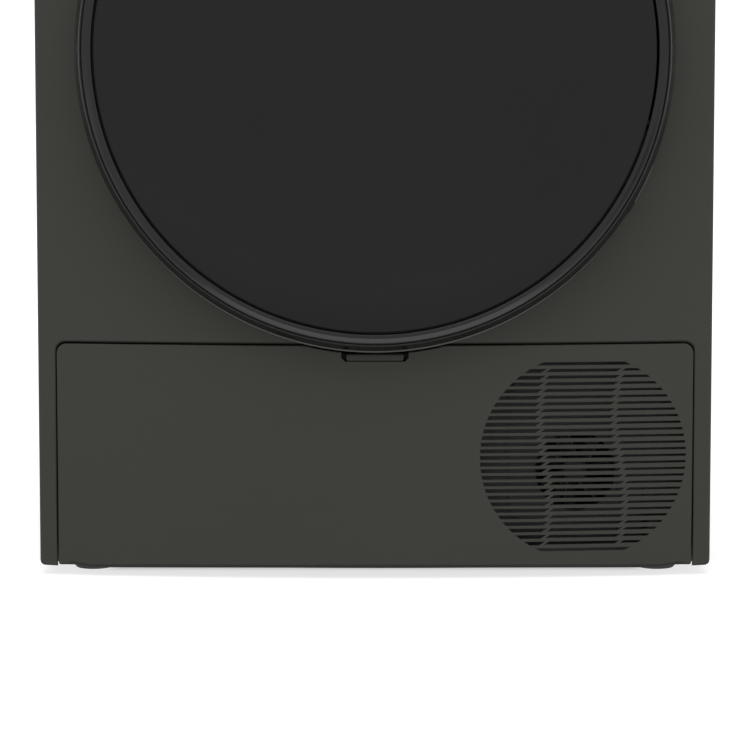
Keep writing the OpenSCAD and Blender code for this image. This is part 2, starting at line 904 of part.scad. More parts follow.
module louvre_slots() {
    half_count = (slot_count - 1) / 2;
    for (i = [-half_count:half_count]) {
        zc = louvre_z + i * slot_pitch;
        zt = zc + 1.5;
        if (abs(i) == half_count) {
            // the outermost slots have no cross ribs
            zb = zt - zone_heights[1];
            slot_shape(
                louvre_x - chord(zb), louvre_x + chord(zb),
                louvre_x - chord(zt), louvre_x + chord(zt), zb, zt
            );
        } else {
            for (k = [0:2]) {
                zb = zt - zone_heights[k];
                slot_shape(
                    zone_left(k, zc, zb), zone_right(k, zc, zb),
                    zone_left(k, zc, zt), zone_right(k, zc, zt), zb, zt
                );
            }
        }
    }
}

module kick_outline() {
    difference() {
        polygon(round_top(-kick_hw, kick_bottom, kick_hw, seam_z, 8.6));
        translate([0, door_z]) circle(r = ring_r + 3.5);
        polygon([[-29.3, 212], [-29.3, 196.8], [-26, 194], [26, 194], [29.3, 196.8], [29.3, 212]]);
        louvre_slots();
    }
}

module latch_pocket() {
    difference() {
        box([-33, -289.2, 190.5], [33, -276.5, 199.5]);
        box([-29.3, -295, 194], [29.3, -279, 215]);
        box([-12.5, -280, 195.6], [12.5, -276, 215]);
    }
}

module kick_ear(s) {
    x0 = s > 0 ? 124 : -130;
    pin0 = s > 0 ? 129 : -146;
    box([x0, -286, 12], [x0 + 6, kick_axis_y, 28]);
    rod_x(kick_axis_y, kick_axis_z, 6, x0, x0 + 6);
    rod_x(kick_axis_y, kick_axis_z, 3, pin0, pin0 + 17);
}

module kick_panel() {
    color("#3e3f3a") {
        intersection() {
            curved_strip(0, skin, -kick_hw, kick_hw, kick_bottom, seam_z);
            along_y(front_y - 2, -255) kick_outline();
        }
        // lower lip stepped back from the face
        intersection() {
            curved_strip(2, 3, -272, 272, 7, 14);
            along_y(front_y - 2, -255) polygon([
                [-271, 10.3], [-254.7, 7.7], [254.7, 7.7], [271, 10.3], [271, 13], [-271, 13]
            ]);
        }
        for (s = [-1, 1]) {
            // side returns and top return
            xa = s * kick_hw;
            xb = s * (kick_hw - skin);
            box([min(xa, xb), arc_y(kick_hw) + 2, 30], [max(xa, xb), -259, seam_z - 9]);
            curved_strip(2, 12, min(s * 60, s * 274), max(s * 60, s * 274), seam_z - 2.6, seam_z);
            kick_ear(s);
        }
        latch_pocket();
    }
}

module kick_latch() {
    color("#41423d") {
        box([-25.2, -294, 194.8], [25.2, -285.5, 202.6]);
        box([-12, -286, 196], [12, -270, 200]);
    }
}

// ---------- controls, tank, filter, feet ----------

module water_tank() {
    color("#d7d8d4") difference() {
        box([tank_x0, tank_y0, tank_z0], [tank_x1, tank_y1, tank_z1]);
        box([tank_x0 + 2, tank_y0 + 2, tank_z0 + 2], [tank_x1 - 2, tank_y1 - 2, tank_z1 - 2]);
        box([tank_x0 + 2, -120, tank_z1 - 4], [tank_x1 - 2, tank_y1 - 2, tank_z1 + 1]);
    }
}

module tank_front() {
    color("#34352f") {
        difference() {
            union() {
                intersection() {
                    curved_strip(0, 3, -290, -122, 747, 817);
                    along_y(front_y - 5, -240) polygon(round_rect(-290, 747, -122, 817, 3.4));
                }
                // scoop for the fingers
                intersection() {
                    box([-243, -290, 765], [-167, -258, 793]);
                    translate([0, 0, 760]) linear_extrude(40) front_disc(1);
                }
            }
            box([-240, -300, 768], [-170, -260.5, 790]);
        }
        for (x = [-281, -135]) box([x, arc_y(x) + 1.5, 762], [x + 3, tank_y0, 810]);
    }
}

module program_knob() {
    color("#2a2b28") {
        turned(-30, 782) polygon([
            [0, 292.4], [knob_r, 292.4], [knob_r, 292.4 + knob_h - 3],
            [knob_r - 2.5, 292.4 + knob_h], [0, 292.4 + knob_h]
        ]);
        rod_y(-30, 782, 4, -292.6, -264);
    }
}

module power_button() {
    color("#3f403b") {
        rod_y(-88, 782, 9, -291, -282);
        rod_y(-88, 782, 3, -283, -268);
    }
}

module start_button() {
    color("#3f403b") {
        intersection() {
            curved_strip(-0.8, 7, 236, 280, 765, 800);
            along_y(front_y - 5, -240) polygon(round_rect(240, 770, 276, 794, 4.6));
        }
        rod_y(258, 782, 3, -268, -258);
    }
}

module lint_filter() {
    color("#6d7073") difference() {
        box([-78, -247, 214], [78, -229, 296]);
        box([-75.5, -244.5, 217], [75.5, -231.5, 300]);
        for (i = [0:5]) {
            x = -70 + i * 23.6;
            box([x, -250, 224], [x + 20, -225, 286]);
        }
    }
    color("#9b9d9f") for (y = [-246, -231]) box([-76, y, 216], [76, y + 0.8, 290]);
    color("#6d7073") difference() {
        box([-78, -247, 294], [78, -229, 298]);
        box([-66, -242, 290], [66, -234, 310]);
    }
}

module foot(x, y) {
    color("#1e1e1e") {
        translate([x, y, 0]) cylinder(r1 = foot_r - 2, r2 = foot_r, h = 2);
        translate([x, y, 2]) cylinder(r = foot_r, h = 6);
        translate([x, y, 7]) cylinder(r = stem_r, h = 37);
    }
}

module foot_front_left() {
    foot(-foot_x, foot_yf);
}

module foot_front_right() {
    foot(foot_x, foot_yf);
}

module foot_rear_left() {
    foot(-foot_x, foot_yr);
}

module foot_rear_right() {
    foot(foot_x, foot_yr);
}

// ---------- drawing ----------

base_tray();
left_side_panel();
right_side_panel();
rear_panel();
rear_duct_cover();
top_panel();
top_rails();
front_panel();
front_bulkhead();
control_fascia();
display_lens();
tank_housing();
door_hinge_bracket();
drum_front_seal();
drum_rear_seal();
rear_bearing();
drum_lamp();
humidity_strips();
drive_belt();
motor_housing();
blower_housing();
compressor();
evaporator();
condenser();
refrigerant_pipes();
hx_duct_cover();
hx_access_cover();
intake_plate();
drain_pump();
rear_fittings();
door_ring();
door_glass();
door_inner_frame();
door_window();
door_seal();
door_hinge_arm();
door_hook();
drum_shell();
drum_back();
drum_lifters();
motor_rotor();
idler_arm();
idler_pulley();
front_roller_left();
front_roller_right();
kick_panel();
kick_latch();
hx_latch_left();
hx_latch_right();
water_tank();
tank_front();
program_knob();
power_button();
start_button();
lint_filter();
cooling_fan();
foot_front_left();
foot_front_right();
foot_rear_left();
foot_rear_right();
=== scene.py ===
from math import acos, asin, atan2, cos, degrees, exp, hypot, pi, radians, sin, sqrt

import bmesh
import bpy
from mathutils import Matrix, Vector
from mathutils.geometry import tessellate_polygon


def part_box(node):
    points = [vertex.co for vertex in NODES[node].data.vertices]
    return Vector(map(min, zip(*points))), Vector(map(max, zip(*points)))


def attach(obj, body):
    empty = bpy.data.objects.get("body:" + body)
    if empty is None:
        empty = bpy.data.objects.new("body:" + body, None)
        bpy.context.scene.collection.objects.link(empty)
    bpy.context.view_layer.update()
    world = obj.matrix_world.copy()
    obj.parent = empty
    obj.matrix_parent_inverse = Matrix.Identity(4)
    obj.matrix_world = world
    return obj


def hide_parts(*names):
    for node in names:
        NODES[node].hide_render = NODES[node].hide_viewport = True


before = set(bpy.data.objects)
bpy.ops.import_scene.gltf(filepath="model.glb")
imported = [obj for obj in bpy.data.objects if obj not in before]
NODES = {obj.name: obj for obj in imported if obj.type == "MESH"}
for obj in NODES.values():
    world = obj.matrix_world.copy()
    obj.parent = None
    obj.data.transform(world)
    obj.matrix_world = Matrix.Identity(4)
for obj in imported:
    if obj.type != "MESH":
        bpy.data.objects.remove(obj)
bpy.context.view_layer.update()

MM = 0.001


def linked(name, data):
    """A new object in the scene."""
    obj = bpy.data.objects.new(name, data)
    bpy.context.scene.collection.objects.link(obj)
    return obj


# ---- camera

LENS = 153.14  # millimetres on a 36 mm sensor
CAM_DISTANCE = 3.092  # in front of the object's centre, metres
CAM_HEIGHT = 0.4717
CAM_DOWN = 5.906  # degrees below level

cam_data = bpy.data.cameras.new("camera")
cam_data.sensor_width = 36.0
cam_data.lens = LENS
cam_data.clip_end = 50.0
cam = linked("camera", cam_data)
cam.location = (0.0, -CAM_DISTANCE, CAM_HEIGHT)
cam.rotation_euler = (radians(90.0 - CAM_DOWN), 0.0, 0.0)
bpy.context.scene.camera = cam
bpy.context.scene.view_settings.view_transform = "Standard"

# ---- materials


def srgb(r, g, b):
    """Linear colour of an 8-bit screen colour."""
    out = []
    for c in (r, g, b):
        c /= 255.0
        out.append(c / 12.92 if c <= 0.04045 else ((c + 0.055) / 1.055) ** 2.4)
    return (*out, 1.0)


def tinted(colour, factor):
    """The colour made lighter or darker, kept within range."""
    return (*[min(1.0, c * factor) for c in colour[:3]], 1.0)


class Graph:
    """Short calls for building one material's nodes."""

    MIX_INPUTS = (0, 6, 7)  # the factor and the two colours of a Mix node
    MIX_RESULT = 2

    def __init__(self, name):
        self.mat = bpy.data.materials.new(name)
        self.mat.use_nodes = True
        self.tree = self.mat.node_tree
        self.tree.nodes.clear()
        self.out = self.node("ShaderNodeOutputMaterial")
        self.bsdf = self.node("ShaderNodeBsdfPrincipled")
        self.link(self.bsdf.outputs[0], self.out.inputs[0])
        self.coord = self.node("ShaderNodeTexCoord").outputs["Object"]

    def node(self, kind, **props):
        n = self.tree.nodes.new(kind)
        for key, value in props.items():
            setattr(n, key, value)
        return n

    def link(self, source, to):
        """Feeds an input from a value or a socket."""
        if hasattr(source, "is_linked"):
            self.tree.links.new(source, to)
        else:
            to.default_value = source

    def feed(self, n, **inputs):
        """Feeds a node's inputs by name, with _ for a space."""
        for key, source in inputs.items():
            self.link(source, n.inputs[key.replace("_", " ")])
        return n

    def set(self, **inputs):
        self.feed(self.bsdf, **inputs)

    def mapped(self, scale):
        """Object coordinates, stretched by scale."""
        n = self.node("ShaderNodeMapping")
        return self.feed(n, Scale=scale, Vector=self.coord).outputs[0]

    def noise(self, scale, detail=3.0, rough=0.5, stretch=(1, 1, 1)):
        n = self.node("ShaderNodeTexNoise")
        self.feed(n, Scale=scale, Detail=detail, Roughness=rough, Vector=self.mapped(stretch))
        return n.outputs["Fac"]

    def voronoi(self, scale):
        n = self.node("ShaderNodeTexVoronoi")
        return self.feed(n, Scale=scale, Vector=self.mapped((1, 1, 1)))

    def spread(self, value, low, high, a=0.3, b=0.7):
        """Maps value from a..b to low..high, and holds it there outside."""
        n = self.node("ShaderNodeMapRange")
        self.feed(n, From_Min=a, From_Max=b, To_Min=low, To_Max=high, Value=value)
        return n.outputs[0]

    def calc(self, operation, *sources, kind="ShaderNodeMath"):
        n = self.node(kind, operation=operation)
        for source, to in zip(sources, n.inputs):
            self.link(source, to)
        return n

    def ramp(self, value, low, high, a=0.3, b=0.7):
        """Goes from one colour to another as value goes from a to b."""
        n = self.node("ShaderNodeValToRGB")
        for stop, at, colour in zip(n.color_ramp.elements, (a, b), (low, high)):
            stop.position, stop.color = at, colour
        self.link(value, n.inputs[0])
        return n.outputs[0]

    def mix(self, fac, a, b):
        """Blends colours a and b; each argument is a value or a socket."""
        n = self.node("ShaderNodeMix", data_type="RGBA")
        for source, at in zip((fac, a, b), self.MIX_INPUTS):
            self.link(source, n.inputs[at])
        return n.outputs[self.MIX_RESULT]

    def bump(self, heights):
        """Chains (value, distance in metres, strength) into one normal."""
        last = None
        for value, distance, strength in heights:
            n = self.node("ShaderNodeBump")
            self.feed(n, Distance=distance, Strength=strength, Height=value)
            if last is not None:
                self.feed(n, Normal=last)
            last = n.outputs[0]
        self.set(Normal=last)

    def edge_wear(self, colour, worn, amount):
        """Lighter rubbed edges, broken up by noise, from the mesh's own curvature."""
        geo = self.node("ShaderNodeNewGeometry").outputs["Pointiness"]
        rub = self.calc("MULTIPLY", self.spread(geo, 0.0, amount, 0.52, 0.6),
                        self.spread(self.noise(55, 4), 0.0, 1.0, 0.35, 0.65))
        return self.mix(rub.outputs[0], colour, worn)


def moulded(name, colour, rough=0.42, grain=1400.0, depth=0.00003, vary=0.03, wear=0.0,
            spec=0.5, underside_shade=0.0):
    """Paint or moulded plastic: cloudy tone, fine grain, slow waviness, dusty gloss.

    Faces that look down can be darkened: painted shade, as if all the light fell from above.
    """
    g = Graph(name)
    base = g.ramp(g.noise(3.0, 4), tinted(colour, 1 - vary), tinted(colour, 1 + vary), 0.25, 0.75)
    speck = g.spread(g.noise(grain, 2), 0.0, 0.2, 0.4, 0.75)
    base = g.mix(speck, base, tinted(colour, 1.3))
    if wear:
        base = g.edge_wear(base, tinted(colour, 1.9), wear)
    # painted shade: faces that look down are mixed towards a quarter of the colour
    if underside_shade:
        split = g.node("ShaderNodeSeparateXYZ")
        g.feed(split, Vector=g.node("ShaderNodeNewGeometry").outputs["Normal"])
        base = g.mix(g.spread(split.outputs["Z"], underside_shade, 0.0, -0.6, -0.05), base, tinted(colour, 0.25))
    gloss = g.spread(g.noise(34.0, 6, 0.7), rough - 0.015, rough + 0.025)
    g.set(Base_Color=base, Roughness=gloss, Specular_IOR_Level=spec)
    g.bump([(g.noise(grain, 2), depth, 0.5), (g.noise(7.0, 2), 0.0003, 0.06)])
    return g.mat


def glossy(name, colour, rough=0.1, smear=0.06, spec=0.5):
    """High-gloss moulding or printed glass with faint wipe marks."""
    g = Graph(name)
    base = g.ramp(g.noise(5.0, 3), tinted(colour, 0.94), tinted(colour, 1.06))
    wipe = g.spread(g.noise(14.0, 5, 0.6, (1, 1, 5)), rough, rough + smear)
    g.set(Base_Color=base, Roughness=wipe, Specular_IOR_Level=spec)
    g.bump([(g.noise(18.0, 2), 0.0001, 0.05)])
    return g.mat


def clear(name, colour, rough=0.03):
    """Clear glass with a faint uneven gloss."""
    g = Graph(name)
    tone = g.ramp(g.noise(8.0), colour, tinted(colour, 1.05))
    haze = g.spread(g.noise(18.0, 5), rough, rough + 0.05)
    g.set(Base_Color=tone, Transmission_Weight=0.92, IOR=1.5, Roughness=haze)
    return g.mat


def brushed(name, colour, rough=0.3, stretch=(1, 60, 1), fine=90.0):
    """Metal drawn or brushed along one direction."""
    g = Graph(name)
    lines = g.noise(fine, 5, 0.6, stretch)
    base = g.ramp(lines, tinted(colour, 0.86), tinted(colour, 1.1))
    g.set(Base_Color=g.edge_wear(base, tinted(colour, 1.25), 0.4), Metallic=1.0,
          Roughness=g.spread(lines, rough - 0.06, rough + 0.14))
    g.bump([(lines, 0.00003, 0.35), (g.noise(7.0, 2), 0.0006, 0.12)])
    return g.mat


def galvanised(name, colour, rough=0.42):
    """Zinc-coated sheet: spangled tone and dull patches."""
    g = Graph(name)
    cells = g.voronoi(105.0)
    tone = g.feed(g.node("ShaderNodeSeparateColor"), Color=cells.outputs["Color"])
    base = g.ramp(tone.outputs[0], tinted(colour, 0.93), tinted(colour, 1.06), 0.0, 1.0)
    dull = g.spread(g.noise(6.0, 5), 0.0, 0.5, 0.4, 0.7)
    g.set(Base_Color=g.mix(dull, base, tinted(colour, 0.8)), Metallic=0.9,
          Roughness=g.spread(tone.outputs[1], rough - 0.04, rough + 0.08, 0.0, 1.0))
    g.bump([(g.noise(300.0, 3), 0.00003, 0.3), (g.noise(5.0, 2), 0.001, 0.1)])
    return g.mat


def felted(name, colour):
    """Pressed felt: short fibres in every tone, and a soft sheen."""
    g = Graph(name)
    fibre = g.noise(900.0, 6, 0.75, (1, 1, 3))
    base = g.ramp(fibre, tinted(colour, 0.55), tinted(colour, 1.4))
    g.set(Base_Color=base, Roughness=0.95, Sheen_Weight=0.4)
    g.bump([(fibre, 0.0004, 0.8)])
    return g.mat


def rubbery(name, colour, rough=0.7):
    """Rubber with a fine grain and pale patches of bloom."""
    g = Graph(name)
    fine = g.noise(700.0, 3)
    base = g.ramp(fine, tinted(colour, 0.8), tinted(colour, 1.2))
    bloom = g.spread(g.noise(16.0, 5), 0.0, 0.35, 0.45, 0.7)
    g.set(Base_Color=g.mix(bloom, base, tinted(colour, 2.0)),
          Roughness=g.spread(fine, rough - 0.08, rough + 0.08))
    g.bump([(fine, 0.00006, 0.5)])
    return g.mat


OLIVE = srgb(45, 46, 41)
M = {
    # the front moulding carries painted shade on its down-facing faces
    "front": moulded("front_moulding", OLIVE, 0.5, 1500.0, spec=0.16, underside_shade=0.9),
    "paint": moulded("cabinet_paint", OLIVE, 0.42, 900.0, 0.00004, spec=0.22),
    "fascia": moulded("fascia_moulding", srgb(40, 41, 37), 0.42, 1500.0, spec=0.22),
    "ring": glossy("ring_black", srgb(16, 16, 16), 0.2, 0.06, 0.24),
    # the bead is a thin real flange, but its pale grey, lighter than the panel, is a painted highlight
    # along the ring's outer edge
    "bead": glossy("ring_bead_highlight", srgb(72, 73, 70), 0.3, 0.06, 0.14),
    "glass": glossy("door_glass_black", srgb(13, 13, 13), 0.1, 0.05, 0.17),
    "display": glossy("display_black", srgb(8, 8, 9), 0.06, 0.05, 0.22),
    "mark": moulded("printed_mark", srgb(190, 192, 188), 0.5, 2000.0),
    "clear": clear("inner_glass", (0.85, 0.9, 0.9, 1.0)),
    "zinc": galvanised("zinc_sheet", (0.36, 0.37, 0.375, 1.0)),
    "steel": brushed("drum_steel", (0.62, 0.62, 0.63, 1.0), 0.26),
    "bright": brushed("machined_steel", (0.55, 0.56, 0.57, 1.0), 0.3, (1, 1, 30), 120.0),
    "alu": brushed("fin_aluminium", (0.66, 0.67, 0.69, 1.0), 0.36, (40, 1, 1), 60.0),
    "copper": brushed("copper_tube", (0.72, 0.33, 0.18, 1.0), 0.3, (1, 1, 8), 40.0),
    "dark": moulded("dark_moulding", srgb(30, 30, 31), 0.55, 1100.0, 0.00006, 0.06, 0.15),
    "grey": moulded("grey_moulding", srgb(172, 173, 169), 0.5, 1000.0, 0.00006, 0.03, 0.1),
    "white": moulded("tank_moulding", srgb(214, 215, 210), 0.42, 900.0, 0.00005, 0.03, 0.05),
    "blue": moulded("latch_moulding", srgb(92, 128, 146), 0.45, 1100.0, 0.00005, 0.05, 0.15),
    "enamel": moulded("compressor_enamel", srgb(26, 26, 27), 0.35, 500.0, 0.0001, 0.1, 0.3),
    "rubber": rubbery("black_rubber", srgb(28, 28, 28)),
    "seal": rubbery("seal_rubber", srgb(84, 81, 75), 0.75),
    "felt": felted("seal_felt", srgb(120, 114, 102)),
    "lamp": glossy("lamp_lens", srgb(232, 228, 214), 0.3, 0.1),
    "mesh": brushed("filter_wire", (0.42, 0.43, 0.45, 1.0), 0.35, (1, 1, 20), 200.0),
}

# the record's material slot that each material belongs to
SLOT = {
    "front": "front_plastic", "paint": "cabinet_paint", "fascia": "fascia_plastic",
    "ring": "gloss_black", "bead": "gloss_black", "glass": "dark_glass", "display": "display_glass",
    "clear": "clear_glass", "zinc": "galvanised_steel", "steel": "stainless", "dark": "dark_plastic",
    "seal": "seal_rubber", "copper": "copper", "mesh": "filter_plastic",
}

# ---- shapes in millimetres


def span(node, axis):
    """The lowest and the highest millimetre of a CAD node along an axis."""
    return [getattr(v, axis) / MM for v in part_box(node)]


BULGE = 25.0
HALF_W = span("front_panel", "x")[1]
FRONT_Y, PANEL_BACK = span("front_panel", "y")
PANEL_LOW, PANEL_TOP = span("front_panel", "z")
ARC_R = (HALF_W ** 2 + BULGE ** 2) / (2 * BULGE)
ARC_CY = FRONT_Y + ARC_R
CORNER_R = 4.0
TURN = (HALF_W - CORNER_R) / (ARC_R - CORNER_R)
CORNER_ANGLE = asin(TURN)
S_CORNER = ARC_R * CORNER_ANGLE
S_SIDE = S_CORNER + CORNER_R * (pi / 2 - CORNER_ANGLE)
DOOR_Z = 466.0
RING_R = 262.0


def arc_y(x, inset=0.0):
    """Where the bulged front, or a sheet inset behind it, lies in y at a given x."""
    return ARC_CY - sqrt((ARC_R - inset) ** 2 - x * x)


def along(x):
    """Distance along the bulged face at a given x."""
    return ARC_R * asin(x / ARC_R)


def bent(s, z, depth):
    """Point and axes on the bulged front with rounded corners and short side returns."""
    side = 1.0 if s >= 0 else -1.0
    a = abs(s)
    if a <= S_CORNER:
        phi = a / ARC_R
        x, y = ARC_R * sin(phi), ARC_CY - ARC_R * cos(phi)
    elif a <= S_SIDE:
        phi = CORNER_ANGLE + (a - S_CORNER) / CORNER_R
        x = ARC_R * TURN + CORNER_R * (sin(phi) - TURN)
        y = ARC_CY - ARC_R * cos(CORNER_ANGLE) + CORNER_R * (cos(CORNER_ANGLE) - cos(phi))
    else:
        phi = pi / 2
        x = HALF_W
        y = ARC_CY - (ARC_R - CORNER_R) * cos(CORNER_ANGLE) + a - S_SIDE
    t = Vector((cos(phi), side * sin(phi), 0))
    n = Vector((side * sin(phi), -cos(phi), 0))
    return Vector((side * x, y, z)) - n * depth, t, Vector((0, 0, 1)), n


def flat(facing, level):
    """Places a sheet that faces up, front or back, with its face level millimetres out.

    Seen from there, u runs to the right.
    """
    right = Vector((-1 if facing == "back" else 1, 0, 0))
    up = Vector((0, 1, 0) if facing == "up" else (0, 0, 1))
    out = right.cross(up)

    def place(u, v, depth):
        return right * u + up * v + out * (level - depth), right, up, out
    return place


def area2(loop):
    """Twice the loop's area, above 0 when it runs counter-clockwise."""
    return sum(a[0] * b[1] - b[0] * a[1] for a, b in zip(loop, loop[1:] + loop[:1]))


SHARPEST_MITRE = 0.45


def inward(loop):
    """Inward mitre of each corner, for a loop with its material on the left."""
    out = []
    n = len(loop)
    for i in range(n):
        p, q, r = (Vector(loop[i - 1]), Vector(loop[i]), Vector(loop[(i + 1) % n]))
        a, b = (q - p).normalized(), (r - q).normalized()
        na, nb = Vector((-a.y, a.x)), Vector((-b.y, b.x))
        m = (na + nb).normalized()
        out.append(m / max(SHARPEST_MITRE, m.dot(na)))
    return out


def spaced(a, b, n):
    """n even steps from a to b."""
    return [a + (b - a) * i / n for i in range(n + 1)]


def arc(cx, cz, r, a0, a1, n):
    """n steps round a circle, from a0 to a1 degrees."""
    turns = [radians(a) for a in spaced(a0, a1, n)]
    return [(cx + r * cos(a), cz + r * sin(a)) for a in turns]


def ring_loop(cx, cz, r, n):
    return arc(cx, cz, r, 0, 360, n)[:-1]


def round_rect(x0, z0, x1, z1, r, n=6):
    return (arc(x1 - r, z1 - r, r, 0, 90, n) + arc(x0 + r, z1 - r, r, 90, 180, n)
            + arc(x0 + r, z0 + r, r, 180, 270, n) + arc(x1 - r, z0 + r, r, 270, 360, n))


def smooth_mesh(name, bm):
    """A mesh with smooth shading, from bm."""
    mesh = bpy.data.meshes.new(name)
    bm.to_mesh(mesh)
    bm.free()
    for p in mesh.polygons:
        p.use_smooth = True
    return mesh


def dress(node, skin):
    """Gives a CAD node its material."""
    NODES[node].data.materials.clear()
    NODES[node].data.materials.append(M[skin])


def add_piece(name, data, skin, body, replaces=None, slot=None):
    """Links a piece in material skin that rides on its body and may stand for a CAD node."""
    obj = linked(name, data)
    data.materials.append(M[skin])
    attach(obj, body)
    slot = slot or SLOT.get(skin)
    if replaces:
        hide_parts(replaces)
        dress(replaces, skin)
    return obj


def finish_mesh(name, bm, skin, body, normals=None, **kw):
    """Turns millimetres into a mesh object that rides on its body."""
    bmesh.ops.scale(bm, vec=(MM, MM, MM), verts=bm.verts)
    mesh = smooth_mesh(name, bm)
    if normals:
        mesh.normals_split_custom_set_from_vertices(normals)
    return add_piece(name, mesh, skin, body, **kw)


def loft(bm, rows, closed=False, ring=False):
    """Faces between neighbouring rows of points.

    closed joins the two ends of each row, and ring the last row to the first.
    """
    rows = [[bm.verts.new(p) for p in row] for row in rows]
    n = len(rows[0])
    for a, b in zip(rows, rows[1:] + rows[:1] if ring else rows[1:]):
        for j in range(n if closed else n - 1):
            k = (j + 1) % n
            bm.faces.new((a[j], b[j], b[k], a[k]))
    return rows


def outward(bm):
    """Turns every face outward."""
    bmesh.ops.recalc_face_normals(bm, faces=bm.faces)


def crease(obj, limit):
    """Shades edges sharper than limit degrees as corners."""
    obj.data.set_sharp_from_angle(angle=radians(limit))


def thicken(obj, thick, offset=-1.0):
    """Gives a skin its thickness, by default behind its face."""
    wall = obj.modifiers.new("thickness", "SOLIDIFY")
    wall.thickness, wall.offset = thick * MM, offset


def round_edges(obj, width):
    """A bevel of two segments, width in millimetres."""
    bevel = obj.modifiers.new("edge_round", "BEVEL")
    bevel.width, bevel.segments = width * MM, 2
    return bevel


def even_shade(obj, weight=100, keep_sharp=False):
    """Shades each face as flat as its size allows."""
    even = obj.modifiers.new("even_shade", "WEIGHTED_NORMAL")
    even.weight, even.keep_sharp = weight, keep_sharp


def sheet(name, loops, thick, place, skin, body, cuts=(), lift=0.0, steps=3, **kw):
    """A moulded sheet: outlines (loop, edge radius), the first outside and the rest holes.

    An edge radius may be a function of the outline point. The sheet is made flat, with depth
    in z, split along the cuts so that it can bend, and then put in place with exact normals.
    """
    bm = bmesh.new()
    lay = bm.verts.layers.float_vector.new("n")

    def vert(p, n):
        v = bm.verts.new(p)
        v[lay] = n
        return v

    fronts, backs, front_pts, back_pts = [], [], [], []
    for k, (loop, edge) in enumerate(loops):
        loop = list(loop)
        if (area2(loop) > 0) != (k == 0):
            loop.reverse()
        turn = inward(loop)
        radii = [edge(p) if callable(edge) else edge for p in loop]
        deep = [max(thick, r + 0.1) for r in radii]
        rows = []
        for j in range(steps + 1):
            a = pi / 2 * j / steps
            out, down = sin(a), cos(a)
            rows.append([
                vert((p[0] + m.x * r * (1 - out), p[1] + m.y * r * (1 - out), r * (1 - down)),
                     (*(-m.normalized() * out), -down))
                for p, m, r in zip(loop, turn, radii)
            ])
        rows.append([
            vert((p[0], p[1], d), (*(-m.normalized()), 0)) for p, m, d in zip(loop, turn, deep)
        ])
        for r0, r1 in zip(rows, rows[1:]):
            for i in range(len(loop)):
                j = (i + 1) % len(loop)
                bm.faces.new((r0[i], r0[j], r1[j], r1[i]))
        fronts += rows[0]
        front_pts.append([Vector((v.co.x, v.co.y, 0)) for v in rows[0]])
        backs += [vert((p[0], p[1], d), (0, 0, 1)) for p, d in zip(loop, deep)]
        back_pts.append([Vector((p[0], p[1], 0)) for p in loop])
    for pts, verts in ((front_pts, fronts), (back_pts, backs)):
        for tri in tessellate_polygon(pts):
            try:
                bm.faces.new([verts[i] for i in tri])
            except ValueError:  # a flat sliver that repeats a face
                pass
    for c in cuts:
        bmesh.ops.bisect_plane(
            bm, geom=bm.verts[:] + bm.edges[:] + bm.faces[:], plane_co=(c, 0, 0), plane_no=(1, 0, 0))
    normals = []
    for v in bm.verts:
        p, t, up, n = place(v.co.x, v.co.y, v.co.z + lift)
        f = v[lay].normalized()
        normals.append((t * f.x + up * f.y - n * f.z).normalized())
        v.co = p
    bm.verts.index_update()
    bm.normal_update()
    for f in bm.faces:
        mean = Vector((0, 0, 0))
        for v in f.verts:
            mean += normals[v.index]
        if f.normal.dot(mean) < 0:
            f.normal_flip()
    bm.verts.layers.float_vector.remove(lay)
    return finish_mesh(name, bm, skin, body, normals, **kw)


CUT_STEP = 12.0  # along the bulge, between the cuts that let a sheet bend


def curve_cuts(x0, x1):
    """Where a sheet from x0 to x1 is cut so that it can follow the bulge."""
    return spaced(x0, x1, max(1, int((x1 - x0) / CUT_STEP)))[1:-1]


CORNER_CUTS = [side * s for side in (-1, 1) for s in spaced(S_CORNER, S_SIDE, 6)]


def softened(profile):
    """Rounds an open profile by cutting a quarter off both ends of each straight."""
    out = [profile[0]]
    for a, b in zip(profile, profile[1:]):
        for t in (0.25, 0.75):
            out.append(tuple(p + (q - p) * t for p, q in zip(a, b)))
    return out + [profile[-1]]


WELD = 0.0005  # millimetres between points that are one


def lathe(name, profile, x, z, skin, body, segments, back=False, shape=None, sharp=35.0, **kw):
    """Turns (radius, height) about the y axis through x and z.

    Heights are measured towards the front, or the back, and shape(angle, r, h) may move a point.
    """
    side = -1 if back else 1
    bm = bmesh.new()
    rows = []
    for i in range(segments):
        a = 2 * pi * i / segments
        row = []
        for r, h in profile:
            if shape:
                r, h = shape(a, r, h)
            row.append((x + side * r * cos(a), -side * h, z + r * sin(a)))
        rows.append(row)
    loft(bm, rows, ring=True)
    bmesh.ops.remove_doubles(bm, verts=bm.verts, dist=WELD)
    bmesh.ops.dissolve_degenerate(bm, edges=bm.edges, dist=WELD)
    if profile[0] != profile[-1]:
        rims = [e for e in bm.edges if e.is_boundary]
        bmesh.ops.holes_fill(bm, edges=rims, sides=segments + 1)
    outward(bm)
    crease(finish_mesh(name, bm, skin, body, **kw), sharp)


def soft_block(bm, lo, hi, r, segments=2):
    """Adds a box with rounded edges to bm."""
    made = bmesh.ops.create_cube(bm, size=1.0)["verts"]
    size = Vector(hi) - Vector(lo)
    bmesh.ops.scale(bm, vec=size, verts=made)
    edges = list({e for v in made for e in v.link_edges})
    out = bmesh.ops.bevel(bm, geom=edges, offset=min(r, min(size) * 0.45), segments=segments,
                          profile=0.5, affect="EDGES")
    verts = list({v for f in out["faces"] for v in f.verts} | {v for v in made if v.is_valid})
    bmesh.ops.translate(bm, vec=(Vector(hi) + Vector(lo)) / 2, verts=verts)


def blocks(name, boxes, skin, body, r, **kw):
    """Boxes (low corner, high corner) with rounded edges, merged into one piece."""
    bm = bmesh.new()
    for lo, hi in boxes:
        soft_block(bm, lo, hi, r)
    even_shade(finish_mesh(name, bm, skin, body, **kw))


